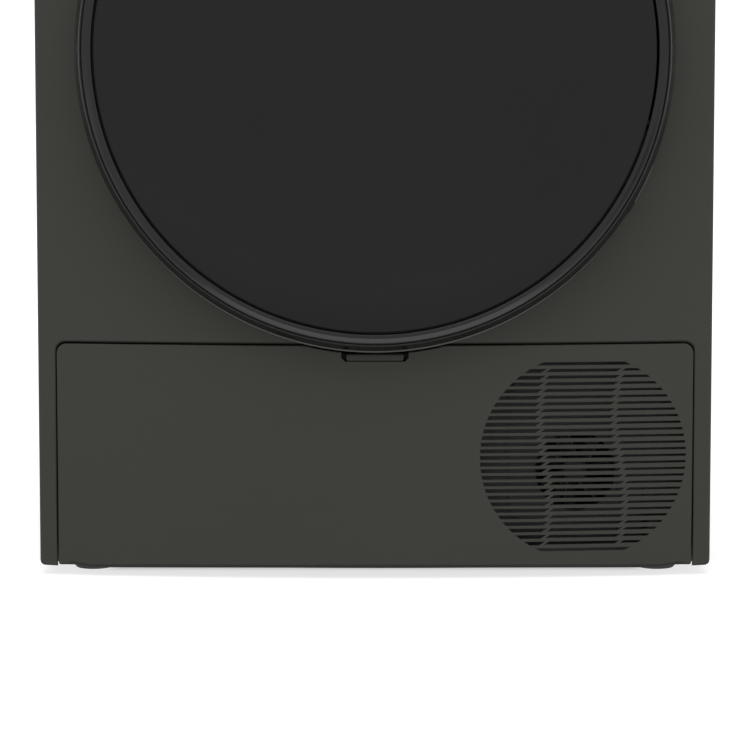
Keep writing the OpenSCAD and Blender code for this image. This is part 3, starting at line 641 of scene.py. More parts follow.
def tube(name, points, r, fillet, skin, body, **kw):
    """A pipe through points, with its corners swept round."""
    steps = 8
    data = bpy.data.curves.new(name, "CURVE")
    data.dimensions = "3D"
    data.bevel_depth = r * MM
    data.bevel_resolution = 4
    data.use_fill_caps = True
    path = [Vector(points[0])]
    for p, q, s in zip(points, points[1:], points[2:]):
        p, q, s = Vector(p), Vector(q), Vector(s)
        cut = min(fillet, (q - p).length / 2.05, (s - q).length / 2.05)
        a, b = q + (p - q).normalized() * cut, q + (s - q).normalized() * cut
        for t in (i / steps for i in range(steps + 1)):
            path.append(a * (1 - t) ** 2 + q * 2 * t * (1 - t) + b * t * t)
    path.append(Vector(points[-1]))
    spline = data.splines.new("POLY")
    spline.points.add(len(path) - 1)
    for point, p in zip(spline.points, path):
        point.co = (*(p * MM), 1.0)
    spline.use_smooth = True
    add_piece(name, data, skin, body, **kw)


def steps_between(a, b, step):
    """Even steps from a to b, each about step long."""
    return spaced(a, b, max(1, round((b - a) / step)))


def pressing(u, v, box, radius, slope):
    """0 outside a rounded rectangle, rising smoothly to 1 inside it."""
    u0, v0, u1, v1 = box
    dx = max(u0 + radius - u, u - (u1 - radius), 0.0)
    dy = max(v0 + radius - v, v - (v1 - radius), 0.0)
    inside = min(u - u0, u1 - u, v - v0, v1 - v) if dx == 0 or dy == 0 else radius - hypot(dx, dy)
    t = min(1.0, max(0.0, inside / slope))
    return t * t * (3 - 2 * t)


def screws(name, spots, body, r, h):
    """Pan-head screws that face the back, with a six-lobed recess, merged into one piece."""
    bm = bmesh.new()
    head = [(r, 0), (r, h * 0.25), (r * 0.94, h * 0.55), (r * 0.8, h * 0.85), (r * 0.6, h)]
    recess = [(r * 0.52, h), (r * 0.48, h * 0.3)]
    segments = 24
    for x, y, z in spots:
        rows = []
        for i in range(segments):
            a = 2 * pi * i / segments
            lobes = 1 + 0.1 * cos(6 * a)
            profile = head + [(q * lobes, d) for q, d in recess] + [(0.0, h * 0.22)]
            rows.append([(x + q * cos(a), y + d, z + q * sin(a)) for q, d in profile])
        bm.faces.new([row[0] for row in loft(bm, rows, ring=True)])
    bmesh.ops.remove_doubles(bm, verts=bm.verts, dist=WELD)
    outward(bm)
    crease(finish_mesh(name, bm, "bright", body), 40)


# ---- front skins

S_END = S_SIDE + PANEL_BACK - (ARC_CY - (ARC_R - CORNER_R) * cos(CORNER_ANGLE))
KICK_HW = span("kick_panel", "x")[1]
SEAM_Z = span("kick_panel", "z")[1]
SEAM_GAP = 0.9
FULL_CUTS = curve_cuts(-S_CORNER, S_CORNER) + CORNER_CUTS


def on_face(loop):
    """An outline drawn in x and z, laid along the bulge."""
    return [(along(x), z) for x, z in loop]


def build_front_panel():
    k, top, r = KICK_HW + SEAM_GAP, SEAM_Z + SEAM_GAP, 9.2
    low = PANEL_LOW - 0.4
    notch = on_face([(-k, low)] + arc(-k + r, top - r, r, 180, 90, 8) + arc(k - r, top - r, r, 90, 0, 8)
                    + [(k, low)])
    corner = [(S_SIDE - 6, low), (S_SIDE - 3.4, low + 0.5), (S_SIDE - 1.6, low + 1.6),
              (S_SIDE - 0.4, low + 3), (S_END, low + 3.4)]
    outer = ([(-s, z) for s, z in reversed(corner)] + notch + corner
             + [(S_END, PANEL_TOP), (-S_END, PANEL_TOP)])

    def roll(point):
        """Radius of the edge: small at the top, wide round the kick panel and at the feet."""
        if point[1] > PANEL_TOP - 1:
            return 0.8
        if point[1] < low + 1:
            return 1.0 if abs(point[0]) < along(k) + 1 else 2.8
        return 2.8 if top - r / 2 < point[1] < top + 1 else 2.0

    hinge_slots = [round_rect(212, z, 230, z + 12, 1.5, 3) for z in (409, 511)]
    hook_slot = round_rect(-236, DOOR_Z - 9, -214, DOOR_Z + 9, 1.5, 3)
    loops = [(outer, roll), (on_face(ring_loop(0, DOOR_Z, 208, 120)), 0.8)]
    loops += [(on_face(slot), 0.3) for slot in hinge_slots + [hook_slot]]
    sheet("front_panel_skin", loops, 2.5, bent, "front", "cabinet", cuts=FULL_CUTS,
          replaces="front_panel")


LOUVRE = (185.0, 108.0, 92.0)  # x, z and radius
PITCH = 5.93
SLOT_ROWS = 14  # on each side of the middle
SLOT_TOP = 1.5  # above the row's line
SLOT_HEIGHTS = (3.3, 2.6, 2.0)  # left, middle and right of the two ribs
RIB_SLANT = 1.6
RIB_HALF = 1.9


def rib(side, z):
    """x of the waving rib to the left (-1) or right (1) of the louvre's middle."""
    wave = sin(radians(2.4 * (z - 106)))
    return 150.5 - 4.5 * wave if side < 0 else 217.2 - 5.2 * wave


def louvre_loops():
    cx, cz, r = LOUVRE

    def chord(z):
        return sqrt(max(0.0, r * r - (z - cz) ** 2))

    loops = []
    for i in range(-SLOT_ROWS, SLOT_ROWS + 1):
        zc = cz + i * PITCH
        zt = zc + SLOT_TOP
        parts = (None,) if abs(i) == SLOT_ROWS else (0, 1, 2)
        for part in parts:
            zb = zt - SLOT_HEIGHTS[1 if part is None else part]
            ends = []
            for z in (zb, zt):
                lean = RIB_SLANT * (z - zc)
                left, right = cx - chord(z), cx + chord(z)
                if part in (1, 2):
                    left = rib(-1 if part == 1 else 1, zc) + RIB_HALF + lean
                if part in (0, 1):
                    right = rib(-1 if part == 0 else 1, zc) - RIB_HALF + lean
                ends.append((left, right))
            loops.append([(ends[0][0], zb), (ends[0][1], zb), (ends[1][1], zt), (ends[1][0], zt)])
    return loops


TAB_HW = 25.2
TAB_LOW = 194.3
KICK_PIN_Y, KICK_PIN_Z, KICK_PIN_R = -277, 20, 3


def build_kick_panel():
    body, low, r = "kick_panel", 9.2, 8.6
    dip = [(x, 9.3 - 1.6 * (x / 200) ** 2) for x in steps_between(-254.7, 254.7, 20)]
    notch = [(29.3, 197.2), (26.2, 193.9), (-26.2, 193.9), (-29.3, 197.2)]
    big = RING_R + 3.5
    edge_x = sqrt(big ** 2 - (DOOR_Z - SEAM_Z) ** 2)
    a0 = degrees(atan2(SEAM_Z - DOOR_Z, edge_x))
    a1 = degrees(atan2(-sqrt(big ** 2 - notch[0][0] ** 2), notch[0][0]))
    right = arc(0, DOOR_Z, big, a0, a1, 10)
    left = [(-x, z) for x, z in reversed(right)]
    outer = (arc(KICK_HW - r, SEAM_Z - r, r, 0, 90, 8) + right + notch + left
             + arc(-KICK_HW + r, SEAM_Z - r, r, 90, 180, 8)
             + arc(-KICK_HW + 2, low + 2, 2, 180, 270, 3) + [(-271, low)] + dip + [(271, low)]
             + arc(KICK_HW - 2, low + 2, 2, 270, 360, 3))

    def roll(point):
        """Radius of the edge: generous at the bottom lip, fine round the release tab."""
        x, z = abs(point[0]), point[1]
        if z < low + 0.4 and x < KICK_HW - 1.5:
            return 4.2
        if z > 190 and x < 29:
            return 0.35
        return 1.4 if z < 190 else 1.0

    loops = [(on_face(outer), roll)] + [(on_face(slot), 0.3) for slot in louvre_loops()]
    sheet("kick_panel_skin", loops, 2.5, bent, "front", body,
          cuts=curve_cuts(-along(KICK_HW), along(KICK_HW)), replaces="kick_panel")
    for side, word in ((-1, "left"), (1, "right")):
        xs = spaced(60, 274, 18)
        strip = ([(side * x, arc_y(x, 2.5)) for x in xs]
                 + [(side * x, arc_y(x, 14)) for x in reversed(xs)])
        sheet("kick_panel_flange_" + word, [(strip, 0.5)], 2.6, flat("up", SEAM_Z), "front", body,
              replaces="kick_panel")

    # end webs, hinge ears, stiffeners and the walls round the tab, given for the right side
    boxes = [((-33, -289.2, 190.5), (33, -276.5, 194)), ((-12.5, -279, 194), (12.5, -276.5, 195.6))]
    for lo, hi in (((280.7, -267.7, 30), (283.2, -259, 199)), ((124, -286, 12), (130, -273, 27)),
                   ((40, -288.5, 150), (41.6, -284.5, 188)), ((90, -288.5, 150), (91.6, -284.5, 188)),
                   ((29.3, -289.2, 194), (33, -276.5, 199.5)), ((12.5, -279, 194), (33, -276.5, 199.5))):
        boxes += [(lo, hi), ((-hi[0], *lo[1:]), (-lo[0], *hi[1:]))]
    blocks("kick_panel_ribs", boxes, "front", body, 0.5, replaces="kick_panel")

    bm = bmesh.new()
    x0, x1 = 129, 146
    for side in (-1, 1):
        made = bmesh.ops.create_cone(bm, cap_ends=True, segments=24, radius1=KICK_PIN_R,
                                     radius2=KICK_PIN_R, depth=x1 - x0)["verts"]
        bmesh.ops.rotate(bm, verts=made, matrix=Matrix.Rotation(pi / 2, 3, "Y"))
        bmesh.ops.translate(bm, vec=(side * (x0 + x1) / 2, KICK_PIN_Y, KICK_PIN_Z), verts=made)
    pins = finish_mesh("kick_panel_pins", bm, "front", body, replaces="kick_panel")
    crease(pins, 40)
    round_edges(pins, 0.5)


def build_release_tab():
    """Tab with a soft thumb hollow across its face, and the stem behind it."""
    bm = bmesh.new()
    xs = [-TAB_HW, -24.6, -23.4, -20, -12, -4, 4, 12, 20, 23.4, 24.6, TAB_HW]
    section = [(-286.2, TAB_LOW), (-292.4, TAB_LOW), (-293.3, 194.5), (-293.8, 195.2), (-293.8, 196.0),
               (-293.5, 197.0), (-293.4, 199.2), (-293.0, 200.2), (-292.0, 200.6),
               (-286.2, 200.6), (-285.5, 200.0), (-285.5, 194.9)]
    cy, cz = -289.6, 198.7
    rows = []
    for x in xs:
        end = TAB_HW - abs(x)
        k = 1.0 if end > 1.7 else 0.72 + 0.28 * sqrt(max(0.0, 1 - (1 - end / 1.8) ** 2))
        rows.append([(x, cy + (y - cy) * k, cz + (z - cz) * k) for y, z in section])
    rows = loft(bm, rows, closed=True)
    bm.faces.new(rows[0])
    bm.faces.new(rows[-1])
    soft_block(bm, (-12, -286, 196), (12, -270, 200), 0.7)
    outward(bm)
    tab = finish_mesh("release_tab", bm, "front", "kick_latch", replaces="kick_latch")
    crease(tab, 50)
    even_shade(tab, 70, keep_sharp=True)


# ---- control panel

CONTROLS_Z = 782
KNOB_X, POWER_X, START_X = -30, -88, 258
START_HALF = (18, 12)  # half the start key's width and height
DISPLAY = (40, 768, 210, 806)
TANK_FRONT = (-290, 747, -122, 817)


def build_fascia():
    lo, hi = span("control_fascia", "z")
    sx, sz = START_HALF
    x0, z0, x1, z1 = TANK_FRONT
    loops = [([(-S_END, lo), (S_END, lo), (S_END, hi), (-S_END, hi)], 0.9),
             (on_face(round_rect(x0 - 1, z0 - 1, x1 + 1, z1 + 1, 4)), 0.7),
             (on_face(ring_loop(POWER_X, CONTROLS_Z, 9.4, 40)), 0.5),
             (on_face(ring_loop(KNOB_X, CONTROLS_Z, 4.1, 24)), 0.2),
             (on_face(round_rect(START_X - sx - 0.4, CONTROLS_Z - sz - 0.4,
                                 START_X + sx + 0.4, CONTROLS_Z + sz + 0.4, 5)), 0.5),
             (on_face(round_rect(*DISPLAY, 3)), 0.3)]
    sheet("fascia_skin", loops, 3.0, bent, "fascia", "cabinet", cuts=FULL_CUTS,
          replaces="control_fascia")
    blocks("fascia_carrier", [((-100, -268, 746), (292, -265.5, 758))]
           + [((x, arc_y(x) + 2.5, 748), (x + 2, -266, 757)) for x in (-90, -10, 90, 190)],
           "fascia", "cabinet", 0.5, replaces="control_fascia")

    x0, z0, x1, z1 = DISPLAY
    glass = on_face(round_rect(x0 + 0.3, z0 + 0.3, x1 - 0.3, z1 - 0.3, 3))
    sheet("display_window", [(glass, 0.4)], 2.4, bent, "display", "cabinet", lift=0.4,
          cuts=curve_cuts(along(x0 + 1), along(x1 - 1)), replaces="display_lens")
    marks = [((60 + 16 * i, 775), (66 + 16 * i, 776.2)) for i in range(9)]
    marks += [((60, 795), (92, 796.4)), ((108, 795), (116, 796.4)), ((124, 795), (132, 796.4))]
    for k, (a, b) in enumerate(marks):
        sheet("display_mark_%02d" % k, [(on_face(round_rect(*a, *b, 0.55, 3)), 0.05)], 0.2, bent,
              "mark", "cabinet", lift=0.25, steps=1, slot="display_glass")

    half, r0 = 0.55, 30.5
    for k in range(16):
        a = radians(90 - 22.5 * k)
        c, s = cos(a), sin(a)
        r1 = 35.5 if k % 4 == 0 else 33.0
        loop = [(KNOB_X + r * c + side * half * s, CONTROLS_Z + r * s - side * half * c)
                for r, side in ((r0, 1), (r1, 1), (r1, -1), (r0, -1))]
        sheet("dial_tick_%02d" % k, [(on_face(loop), 0.05)], 0.25, bent, "mark", "cabinet",
              lift=-0.12, steps=1, slot="fascia_plastic")


def build_knob():
    def flutes(a, r, h):
        if r > 22.5 and 296 < h < 309.5:
            r -= 0.35 * (1 - cos(a * 48))
        return r, h

    profile = [(0, 292.6), (24.8, 292.6), (25.8, 293.2), (26, 294.2), (26, 296.5), (25.9, 300),
               (25.8, 304), (25.6, 309), (25.2, 310.6), (24.4, 311.7), (23.2, 312.3), (21.6, 312.4),
               (20.8, 312), (20, 311.6), (12, 311.2), (0, 311)]
    lathe("programme_knob", profile, KNOB_X, CONTROLS_Z, "fascia", "program_knob", 288, shape=flutes,
          replaces="program_knob")
    blocks("knob_pointer", [((KNOB_X - 0.9, -312.2, 795), (KNOB_X + 0.9, -310.8, 803.5))], "mark",
           "program_knob", 0.3, slot="fascia_plastic")
    lathe("knob_shaft", [(0, 264), (3.6, 264), (4, 264.4), (4, 292.7), (0, 292.7)], KNOB_X,
          CONTROLS_Z, "fascia", "program_knob", 32, replaces="program_knob")


def build_buttons():
    button = [(0, 268), (3, 268), (3, 282), (8.6, 282), (9, 282.5), (9, 289.6), (8.8, 290.4),
              (8.2, 290.9), (7, 291), (4, 290.5), (0, 290.2)]
    lathe("power_key", button, POWER_X, CONTROLS_Z, "fascia", "power_button", 48,
          replaces="power_button")
    symbol = arc(0, 0, 2.6, 125, 415, 20) + arc(0, 0, 2.1, 415, 125, 20)
    for name, loop in (("power_ring", symbol), ("power_bar", round_rect(-0.3, 0.9, 0.3, 3.4, 0.28, 3))):
        sheet(name, [([(x + POWER_X, z + CONTROLS_Z) for x, z in loop], 0.04)], 0.3,
              flat("front", 290.75), "mark", "power_button", steps=1, slot="fascia_plastic")

    sx, sz = START_HALF
    x0, x1 = START_X - sx, START_X + sx
    plate = on_face(round_rect(x0, CONTROLS_Z - sz, x1, CONTROLS_Z + sz, 4.6))
    sheet("start_key", [(plate, 1.2)], 6.0, bent, "fascia", "start_button", lift=-0.8,
          cuts=curve_cuts(along(x0), along(x1)), steps=4, replaces="start_button")
    arrow = [(START_X - 2.4, CONTROLS_Z - 3.4), (START_X + 3.2, CONTROLS_Z),
             (START_X - 2.4, CONTROLS_Z + 3.4)]
    sheet("start_mark", [(arrow, 0.1)], 0.3, bent, "mark", "start_button", lift=-0.95, steps=1,
          slot="fascia_plastic")
    lathe("start_stem", [(0, 258), (3, 258), (3, 268), (0, 268)], START_X, CONTROLS_Z,
          "fascia", "start_button", 24, replaces="start_button")


def build_tank_front():
    body, node = "water_tank", "tank_front"
    hole = round_rect(-240, 768, -170, 790, 6)
    sheet("tank_front_skin", [(on_face(round_rect(*TANK_FRONT, 3.4)), 1.0), (on_face(hole), 1.2)], 3.0,
          bent, "fascia", body, cuts=curve_cuts(along(TANK_FRONT[0]), along(TANK_FRONT[2])), steps=4,
          replaces=node)
    bm = bmesh.new()
    turn = inward(hole)
    rows = [[(p[0], arc_y(p[0]) + 2.0, p[1]) for p in hole]]
    for inset, y in ((0, -270), (0.4, -266), (1.4, -263), (3.0, -261.3), (6.0, -260.6)):
        rows.append([(p[0] + m.x * inset, y, p[1] + m.y * inset) for p, m in zip(hole, turn)])
    bm.faces.new(loft(bm, rows, closed=True)[-1])
    outward(bm)
    bmesh.ops.reverse_faces(bm, faces=bm.faces)
    thicken(finish_mesh("tank_scoop", bm, "fascia", body, replaces=node), 2.2)
    blocks("tank_front_arms", [((x, arc_y(x) + 2.8, 762), (x + 3, -255, 810)) for x in (-281, -135)],
           "fascia", body, 0.5, replaces=node)


# ---- cabinet

REAR_Y = 295.0  # the back panel's face
WORKTOP_EDGE = 14.0  # height of the worktop's solid rim


def build_worktop():
    z0, z1 = span("top_panel", "z")
    back = span("top_panel", "y")[1]
    edge = [bent(s, 0, 0)[0].to_2d() for s in spaced(-S_CORNER, S_CORNER, 80)]
    side = [bent(s, 0, 0)[0].to_2d() for s in spaced(S_CORNER, S_SIDE, 5)[1:]]
    plan = ([(-p.x, p.y) for p in reversed(side)] + [tuple(p) for p in edge + side]
            + arc(HALF_W - 3, back - 3, 3, 0, 90, 5) + arc(-HALF_W + 3, back - 3, 3, 90, 180, 5))
    inner = round_rect(-288, -247, 288, 288, 6)
    sheet("worktop", [(plan, 3.5)], WORKTOP_EDGE, flat("up", z1), "front", "cabinet", steps=5,
          slot="worktop_moulding", replaces="top_panel")
    sheet("worktop_skirt", [(plan, 0.05), (inner, 0.05)], z1 - z0 - WORKTOP_EDGE,
          flat("up", z1 - WORKTOP_EDGE), "front", "cabinet", steps=1, slot="worktop_moulding",
          replaces="top_panel")


def build_side(side, word):
    """Painted side sheet with a pressed field, and its folded flange at the back."""
    node = word + "_side_panel"
    y0, y1 = span(node, "y")
    z0, z1 = span(node, "z")

    def face(u, v):
        dip = 1.6 * pressing(u, v, (-185, 175, 225, 690), 55, 14)
        roll = 1.2 * max(0.0, 1 - (u - y0) / 1.5) ** 2
        return side * (HALF_W - dip - roll), u, v

    us = [y0, y0 + 0.5, y0 + 1.5] + steps_between(y0 + 6, y1, 7)
    vs = steps_between(z0, z1, 9)
    if side < 0:
        us.reverse()
    bm = bmesh.new()
    loft(bm, [[face(u, v) for v in vs] for u in us])
    thicken(finish_mesh(word + "_side_skin", bm, "paint", "cabinet", replaces=node), 1.2)
    x0, x1 = sorted((side * (HALF_W - 14), side * (HALF_W - 1.3)))
    blocks(word + "_side_flange", [((x0, REAR_Y + 0.1, z0), (x1, REAR_Y + 1.3, z1))], "paint",
           "cabinet", 0.3, replaces=node)


def hull_loop(a, ra, b, rb, n=48):
    """Counter-clockwise line round two circles."""
    def touch(p, rp, q, rq):
        d = Vector(q) - Vector(p)
        return degrees(atan2(d.y, d.x) - acos((rp - rq) / d.length))

    ab, ba = touch(a, ra, b, rb), touch(b, rb, a, ra)
    while ab < ba:
        ab += 360
    return arc(*a, ra, ba, ab, n) + arc(*b, rb, ab, ba + 360, n // 2)


DRUM_Z = 505
DUCT_LOW = (205, 200)  # centre of the duct's small end
FLANGE_W = 10


def build_duct():
    """Pressed cover with a rolled edge and a stiffening step, on a screwed flange."""
    outline = hull_loop((0, DRUM_Z), 218, DUCT_LOW, 74)
    rim = hull_loop((0, DRUM_Z), 218 + FLANGE_W, DUCT_LOW, 74 + FLANGE_W)
    face = REAR_Y + 1.4
    sheet("duct_flange", [([(-x, z) for x, z in loop], 0.3) for loop in (rim, outline)], 1.2,
          flat("back", face), "zinc", "cabinet", steps=2)

    bm = bmesh.new()
    depth = span("rear_duct_cover", "y")[1] - REAR_Y
    profile = [(0, 0), (0, depth - 7), (0.6, depth - 4), (2.2, depth - 1.6), (4.6, depth - 0.4),
               (8, depth), (26, depth), (29, depth - 0.6), (32, depth - 2.2), (36, depth - 2.8)]
    turn = inward(outline)
    rows = [[(p[0] + m.x * i, REAR_Y + d, p[1] + m.y * i) for p, m in zip(outline, turn)]
            for i, d in profile]
    bm.faces.new(loft(bm, rows, closed=True)[-1])
    outward(bm)
    thicken(finish_mesh("duct_pressing", bm, "zinc", "cabinet", replaces="rear_duct_cover"), 1.2)

    spots = []
    middle = Vector((60, 420))
    for k in range(14):
        p = Vector(rim[len(rim) * k // 14])
        p -= (p - middle).normalized() * FLANGE_W / 2
        spots.append((p.x, face, p.y))
    screws("duct_screws", spots, "cabinet", 3.6, 1.8)


def build_rear_screws():
    spots = [(x, REAR_Y, 812) for x in (-275, -95, 95, 275)]
    spots += [(s * 293, REAR_Y + 1.3, z) for s in (-1, 1) for z in (60, 240, 420, 600, 790)]
    spots += [(x, REAR_Y, 22) for x in (-200, 0, 140)]
    screws("rear_screws", spots, "cabinet", 3.8, 2.0)


# ---- door

NEAR_PANEL = 10.0  # heights below this are measured forward from the bulged front
HINGE_HALF = 64  # half the height of the hinge's pocket


def door_clip(a, r, h):
    """Follows the panel behind the ring, and clears the hinge and its two arms."""
    x, dz = r * cos(a), r * sin(a)
    if h < NEAR_PANEL:
        h += max(-arc_y(x), 284.5 if x > 225 and abs(dz) < 150 else 0.0)
    if r > 255 and x > 206 and any(z - 7 < DOOR_Z + dz < z + 15 for z in (411, 513)):
        r, h = min(r, RING_R), max(h, 300.8)
    if r < 258.6 and x > 206 and abs(dz) < HINGE_HALF:
        h = max(h, 307.3)
    return r, h


def bead_clip(a, r, h):
    """The bead sinks into the ring beside the hinge."""
    if r * cos(a) > 205 and abs(r * sin(a)) < 100:
        return RING_R - 1.5 + (r - RING_R) * 0.2, 303.0 + h * 0.2
    return door_clip(a, r, h)


def build_door():
    def turned(name, profile, skin, segments, **kw):
        lathe(name, profile, 0, DOOR_Z, skin, "door", segments, **kw)

    rim = [(246.1, 303), (246.1, 315), (246.3, 316.2), (246.8, 316.9), (247.6, 317.1), (249.3, 317),
           (249.8, 317.2), (250.4, 317.7), (252.9, 319.5), (253.6, 319.8), (254, 319.6), (254.3, 318.8),
           (254.6, 318.4), (254.9, 318.5), (255.3, 319.1), (255.9, 319.3), (256.5, 318.9), (257, 317.8),
           (260.3, 306.4), (261.1, 304.4), (261.7, 303), (261.9, 301.6), (261.9, 300.5)]
    back = [(262, 1.9), (262, 0.4), (256.2, 0.4), (256.2, 300.3), (248, 300.3), (238.2, 300.3),
            (238, 305), (238.2, 309.6), (242.6, 309.6), (242.6, 303), (246.1, 303)]
    turned("door_ring_trim", softened(rim) + back, "ring", 360, shape=door_clip, sharp=40,
           replaces="door_ring")
    # the bead's pale colour paints the highlight round the ring's outer edge
    bead = [(261.9, 0.3), (263.9, 0.3), (264.2, 0.6), (264.1, 1.1), (263.3, 1.9), (262.4, 2.5),
            (261.9, 2.6), (261.9, 0.3)]
    turned("door_ring_bead", bead, "bead", 240, shape=bead_clip, sharp=60)
    glass = [(0, 310), (243.9, 310), (244.4, 310.3), (244.6, 311), (244.6, 313.9),
             (244.4, 314.5), (243.9, 314.85), (243.2, 315), (200, 315), (120, 315), (0, 315)]
    turned("door_glass_disc", glass, "glass", 240, replaces="door_glass")
    bowl = [(0, 256), (60, 256.4), (100, 258), (130, 260.8), (150, 264.2), (160, 267.4),
            (164.6, 270.4), (164.7, 275.8), (163.6, 276), (156, 272.2), (148, 268.9), (128, 265.4),
            (100, 262.8), (60, 261.3), (0, 261)]
    turned("door_bowl", bowl, "clear", 160, sharp=60, replaces="door_window")
    lip = [(186, 267.9), (186, 266.2), (188, 264.4), (188.4, 263.2), (189.6, 262.4), (191, 262.3),
           (192.4, 262.4), (193.6, 263.2), (194, 264.4), (196, 266.2), (196, 267.9), (186, 267.9)]
    turned("door_seal_lip", lip, "seal", 160, sharp=60, replaces="door_seal")
    spots = [(x, -294.5, z) for x, z in arc(0, DOOR_Z, 222, 18, 342, 9) if x < 200]
    screws("door_screws", spots, "door", 3.4, 1.6)


# ---- drum, air path and pipes

BEAD_DEPTH = 1.1  # less than the sheet, or the lifters' bases would show


def build_drum():
    y0, y1 = span("drum_shell", "y")
    wall, sheet_t = span("drum_shell", "x")[1], 1.4
    out, ins = [], []
    for y in spaced(y0, y1, 96):
        bead = sum(BEAD_DEPTH * exp(-((y - c) / 5.0) ** 2) for c in (-150, -60, 20, 190))
        out.append((wall - bead, y))
        ins.append((wall - sheet_t - bead, y))
    rim = [(258.0, y0 + 2.0), (257.2, y0 + 1.4), (257.2, y0 + 0.6), (258.0, y0), (272.5, y0),
           (274.2, y0 + 0.4)]
    profile = rim + out[1:] + list(reversed(ins))[:-1] + [(272.5, y0 + 2.0), (258.0, y0 + 2.0)]
    lathe("drum_barrel", profile, 0, DRUM_Z, "steel", "drum", 180, back=True, sharp=50,
          replaces="drum_shell")


FAN_X, FAN_Y, FAN_Z = 181.0, -218.0, 89.0
BLADES, SPAN_STEPS, CHORD_STEPS = 7, 8, 6


def build_fan():
    body, node = "cooling_fan", "cooling_fan"
    hub = [(0, 209), (3, 209), (11.2, 209), (12, 210), (12, 222), (11.2, 225),
           (9, 226.6), (4, 227), (0, 227)]
    lathe("fan_hub", hub, FAN_X, FAN_Z, "dark", body, 48, replaces=node)
    bm = bmesh.new()
    for k in range(BLADES):
        rows = []
        for i in range(SPAN_STEPS + 1):
            out = i / SPAN_STEPS
            r = 11.5 + 22.3 * out
            pitch = radians(52 - 20 * out)
            row = []
            for j in range(CHORD_STEPS + 1):
                t = j / CHORD_STEPS - 0.5
                back = t * (15.5 - 3.0 * out)
                y = FAN_Y + back * sin(pitch) + 2.0 * (0.25 - t * t)
                a = 2 * pi * k / BLADES + back * cos(pitch) / r + 0.1 * out
                row.append((FAN_X + r * cos(a), y, FAN_Z + r * sin(a)))
            rows.append(row)
        loft(bm, rows)
    thicken(finish_mesh("fan_blades", bm, "dark", body, replaces=node), 1.4, offset=0.0)
    lathe("fan_shaft", [(0, 192), (3, 192), (3, 210), (0, 210)], FAN_X, FAN_Z, "bright", body,
          24, slot="dark_plastic", replaces=node)
    dress(node, "dark")


def build_filter_mesh():
    """Woven wire on both faces of the filter: six bays of upright wires, and wires across."""
    bm = bmesh.new()
    w = 0.14  # half a wire
    for y in (-245.6, -230.6):
        for x in (-70 + bay * 23.6 + 2.0 * n for bay in range(6) for n in range(11)):
            soft_block(bm, (x - w, y - w, 223), (x + w, y + w, 287), 0.05, 1)
        for z in (225 + 2.2 * n for n in range(29)):
            soft_block(bm, (-72, y - w, z - w), (72, y + w, z + w), 0.05, 1)
    finish_mesh("filter_weave", bm, "mesh", "lint_filter")


def build_pipes():
    hot = [(150, -40, 178), (150, -40, 205), (20, -40, 205), (20, -40, 150), (-14.9, -40, 150)]
    suction = [(85, -40, 100), (40, -40, 100), (40, -150, 100), (-14.9, -150, 100)]
    for name, points, fillet in (("hot_gas_pipe", hot, 14), ("suction_pipe", suction, 16)):
        tube(name, points, 5, fillet, "copper", "cabinet", replaces="refrigerant_pipes")


build_front_panel()
build_kick_panel()
build_release_tab()
build_fascia()
build_knob()
build_buttons()
build_tank_front()
build_worktop()
build_side(-1, "left")
build_side(1, "right")
build_duct()
build_rear_screws()
build_door()
build_drum()
build_fan()
build_filter_mesh()
build_pipes()

# ---- pieces kept from the CAD

SKIN = {
    "zinc": "rear_panel top_rails door_hinge_bracket motor_housing idler_arm door_hinge_arm",
    "steel": "drum_back",
    "bright": "rear_bearing humidity_strips motor_rotor door_hook",
    "alu": "evaporator condenser",
    "dark": "base_tray blower_housing hx_duct_cover hx_access_cover intake_plate drain_pump "
            "rear_fittings door_inner_frame drum_lifters lint_filter",
    "grey": "front_bulkhead tank_housing",
    "white": "water_tank idler_pulley",
    "blue": "hx_latch_left hx_latch_right",
    "enamel": "compressor",
    "rubber": "drive_belt front_roller_left front_roller_right foot_front_left foot_front_right "
              "foot_rear_left foot_rear_right",
    "felt": "drum_front_seal drum_rear_seal",
    "lamp": "drum_lamp",
}

# edge rounding in millimetres, where it isn't the usual
EDGE = 0.5
BEVEL = {
    "drum_lifters": 5.0, "compressor": 4.0, "hx_latch_left": 1.5, "hx_latch_right": 1.5,
    "water_tank": 1.0, "base_tray": 1.0, "drum_back": 0.3, "rear_panel": 0.2,
    "humidity_strips": 0.4, "lint_filter": 0.3, "drive_belt": 0.3, "evaporator": 0.1,
    "condenser": 0.1,
}


def finish_edges(obj, width):
    """Welds the facets, rounds the edges and evens the shading."""
    for p in obj.data.polygons:
        p.use_smooth = True
    weld = obj.modifiers.new("weld", "WELD")
    weld.merge_threshold = 0.00001
    bevel = round_edges(obj, width)
    bevel.limit_method, bevel.angle_limit = "ANGLE", radians(32)
    even_shade(obj)


for skin, names in SKIN.items():
    for name in names.split():
        dress(name, skin)
        finish_edges(NODES[name], BEVEL.get(name, EDGE))

# ---- stage and light

FLOOR_GLOW = (0.74, 1.0)  # near the object and far off, where it stands for a white backdrop
# the low glow under the cabinet is a painted shadow
PAINTED_SHADOW_GLOW = (0.08, 1.0)  # under the cabinet and outside its footprint


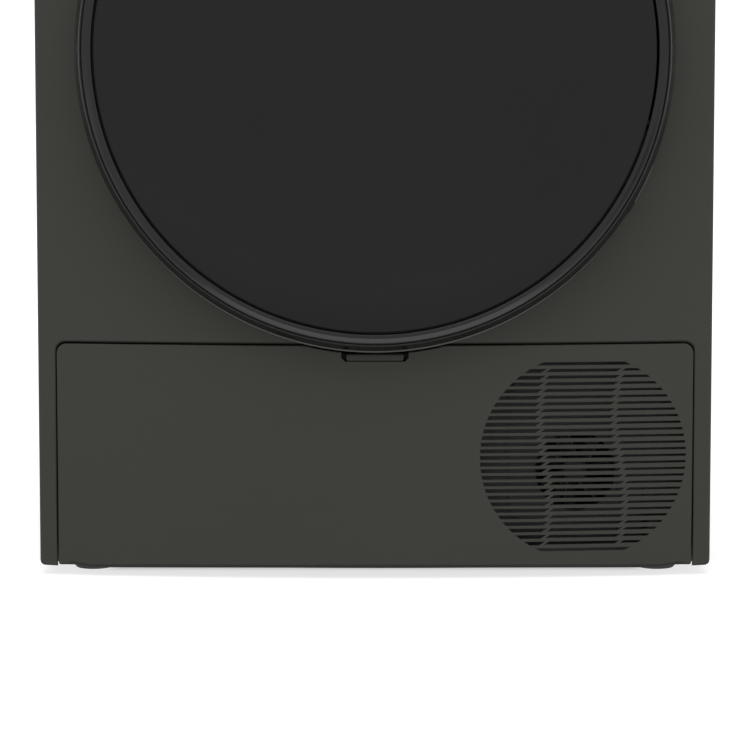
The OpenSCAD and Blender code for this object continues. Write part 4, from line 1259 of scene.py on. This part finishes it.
def floor_material():
    """Pale floor that gives off light like a white set, and little under the cabinet, where the dimmer
    glow is a painted shadow.
    """
    g = Graph("studio_floor")
    tone = g.ramp(g.noise(2.0), (0.33, 0.33, 0.33, 1), (0.35, 0.35, 0.35, 1))
    far = g.calc("LENGTH", g.coord, kind="ShaderNodeVectorMath")
    size = g.calc("ABSOLUTE", g.coord, kind="ShaderNodeVectorMath")
    parts = g.feed(g.node("ShaderNodeSeparateXYZ"), Vector=size.outputs[0])
    square = g.calc("MAXIMUM", parts.outputs["X"], parts.outputs["Y"])
    # painted shadow: far less glow inside the cabinet's footprint
    glow = g.calc("MULTIPLY", g.spread(far.outputs["Value"], *FLOOR_GLOW, 1.2, 4.0),
                  g.spread(square.outputs[0], *PAINTED_SHADOW_GLOW, 0.2, 0.245))
    g.set(Base_Color=tone, Roughness=0.9, Emission_Color=(1, 1, 1, 1),
          Emission_Strength=glow.outputs[0])
    return g.mat


def studio_sweep():
    """A round floor that curves up into a low wall all round, in metres."""
    bm = bmesh.new()
    rows = []
    for r, z in ((0.6, 0), (2, 0), (5, 0), (9, 0), (10.5, 0.12), (11.4, 0.5), (11.9, 1.3), (12, 3.5)):
        rows.append([(x, y, z) for x, y in ring_loop(0, 0, r, 72)])
    bm.faces.new(loft(bm, rows, closed=True)[0])
    obj = linked("studio_floor", smooth_mesh("studio_floor", bm))
    obj.data.materials.append(floor_material())
    obj.location = (0, 0, -0.0005)


studio_sweep()

world = bpy.data.worlds.new("studio")
bpy.context.scene.world = world
world.use_nodes = True
sky = world.node_tree.nodes["Background"]
sky.inputs["Color"].default_value = (1.0, 1.0, 1.0, 1.0)
sky.inputs["Strength"].default_value = 0.45


def area(name, at, to, size, power):
    """A soft rectangular light at one point, turned to another."""
    data = bpy.data.lights.new(name, "AREA")
    data.shape = "RECTANGLE"
    data.size, data.size_y = size
    data.energy = power
    obj = linked(name, data)
    obj.location = at
    obj.rotation_euler = (Vector(to) - Vector(at)).to_track_quat("-Z", "Y").to_euler()


area("overhead", (0, -1.7, 3.0), (0, -0.3, 0.4), (3.6, 2.2), 66)
area("key", (-1.9, -3.0, 2.3), (0, -0.2, 0.4), (3.0, 2.2), 26)
area("fill", (2.3, -2.8, 1.9), (0, -0.2, 0.4), (3.0, 2.2), 22)
area("back", (0, 2.6, 2.6), (0, 0.2, 0.5), (2.4, 1.6), 40)
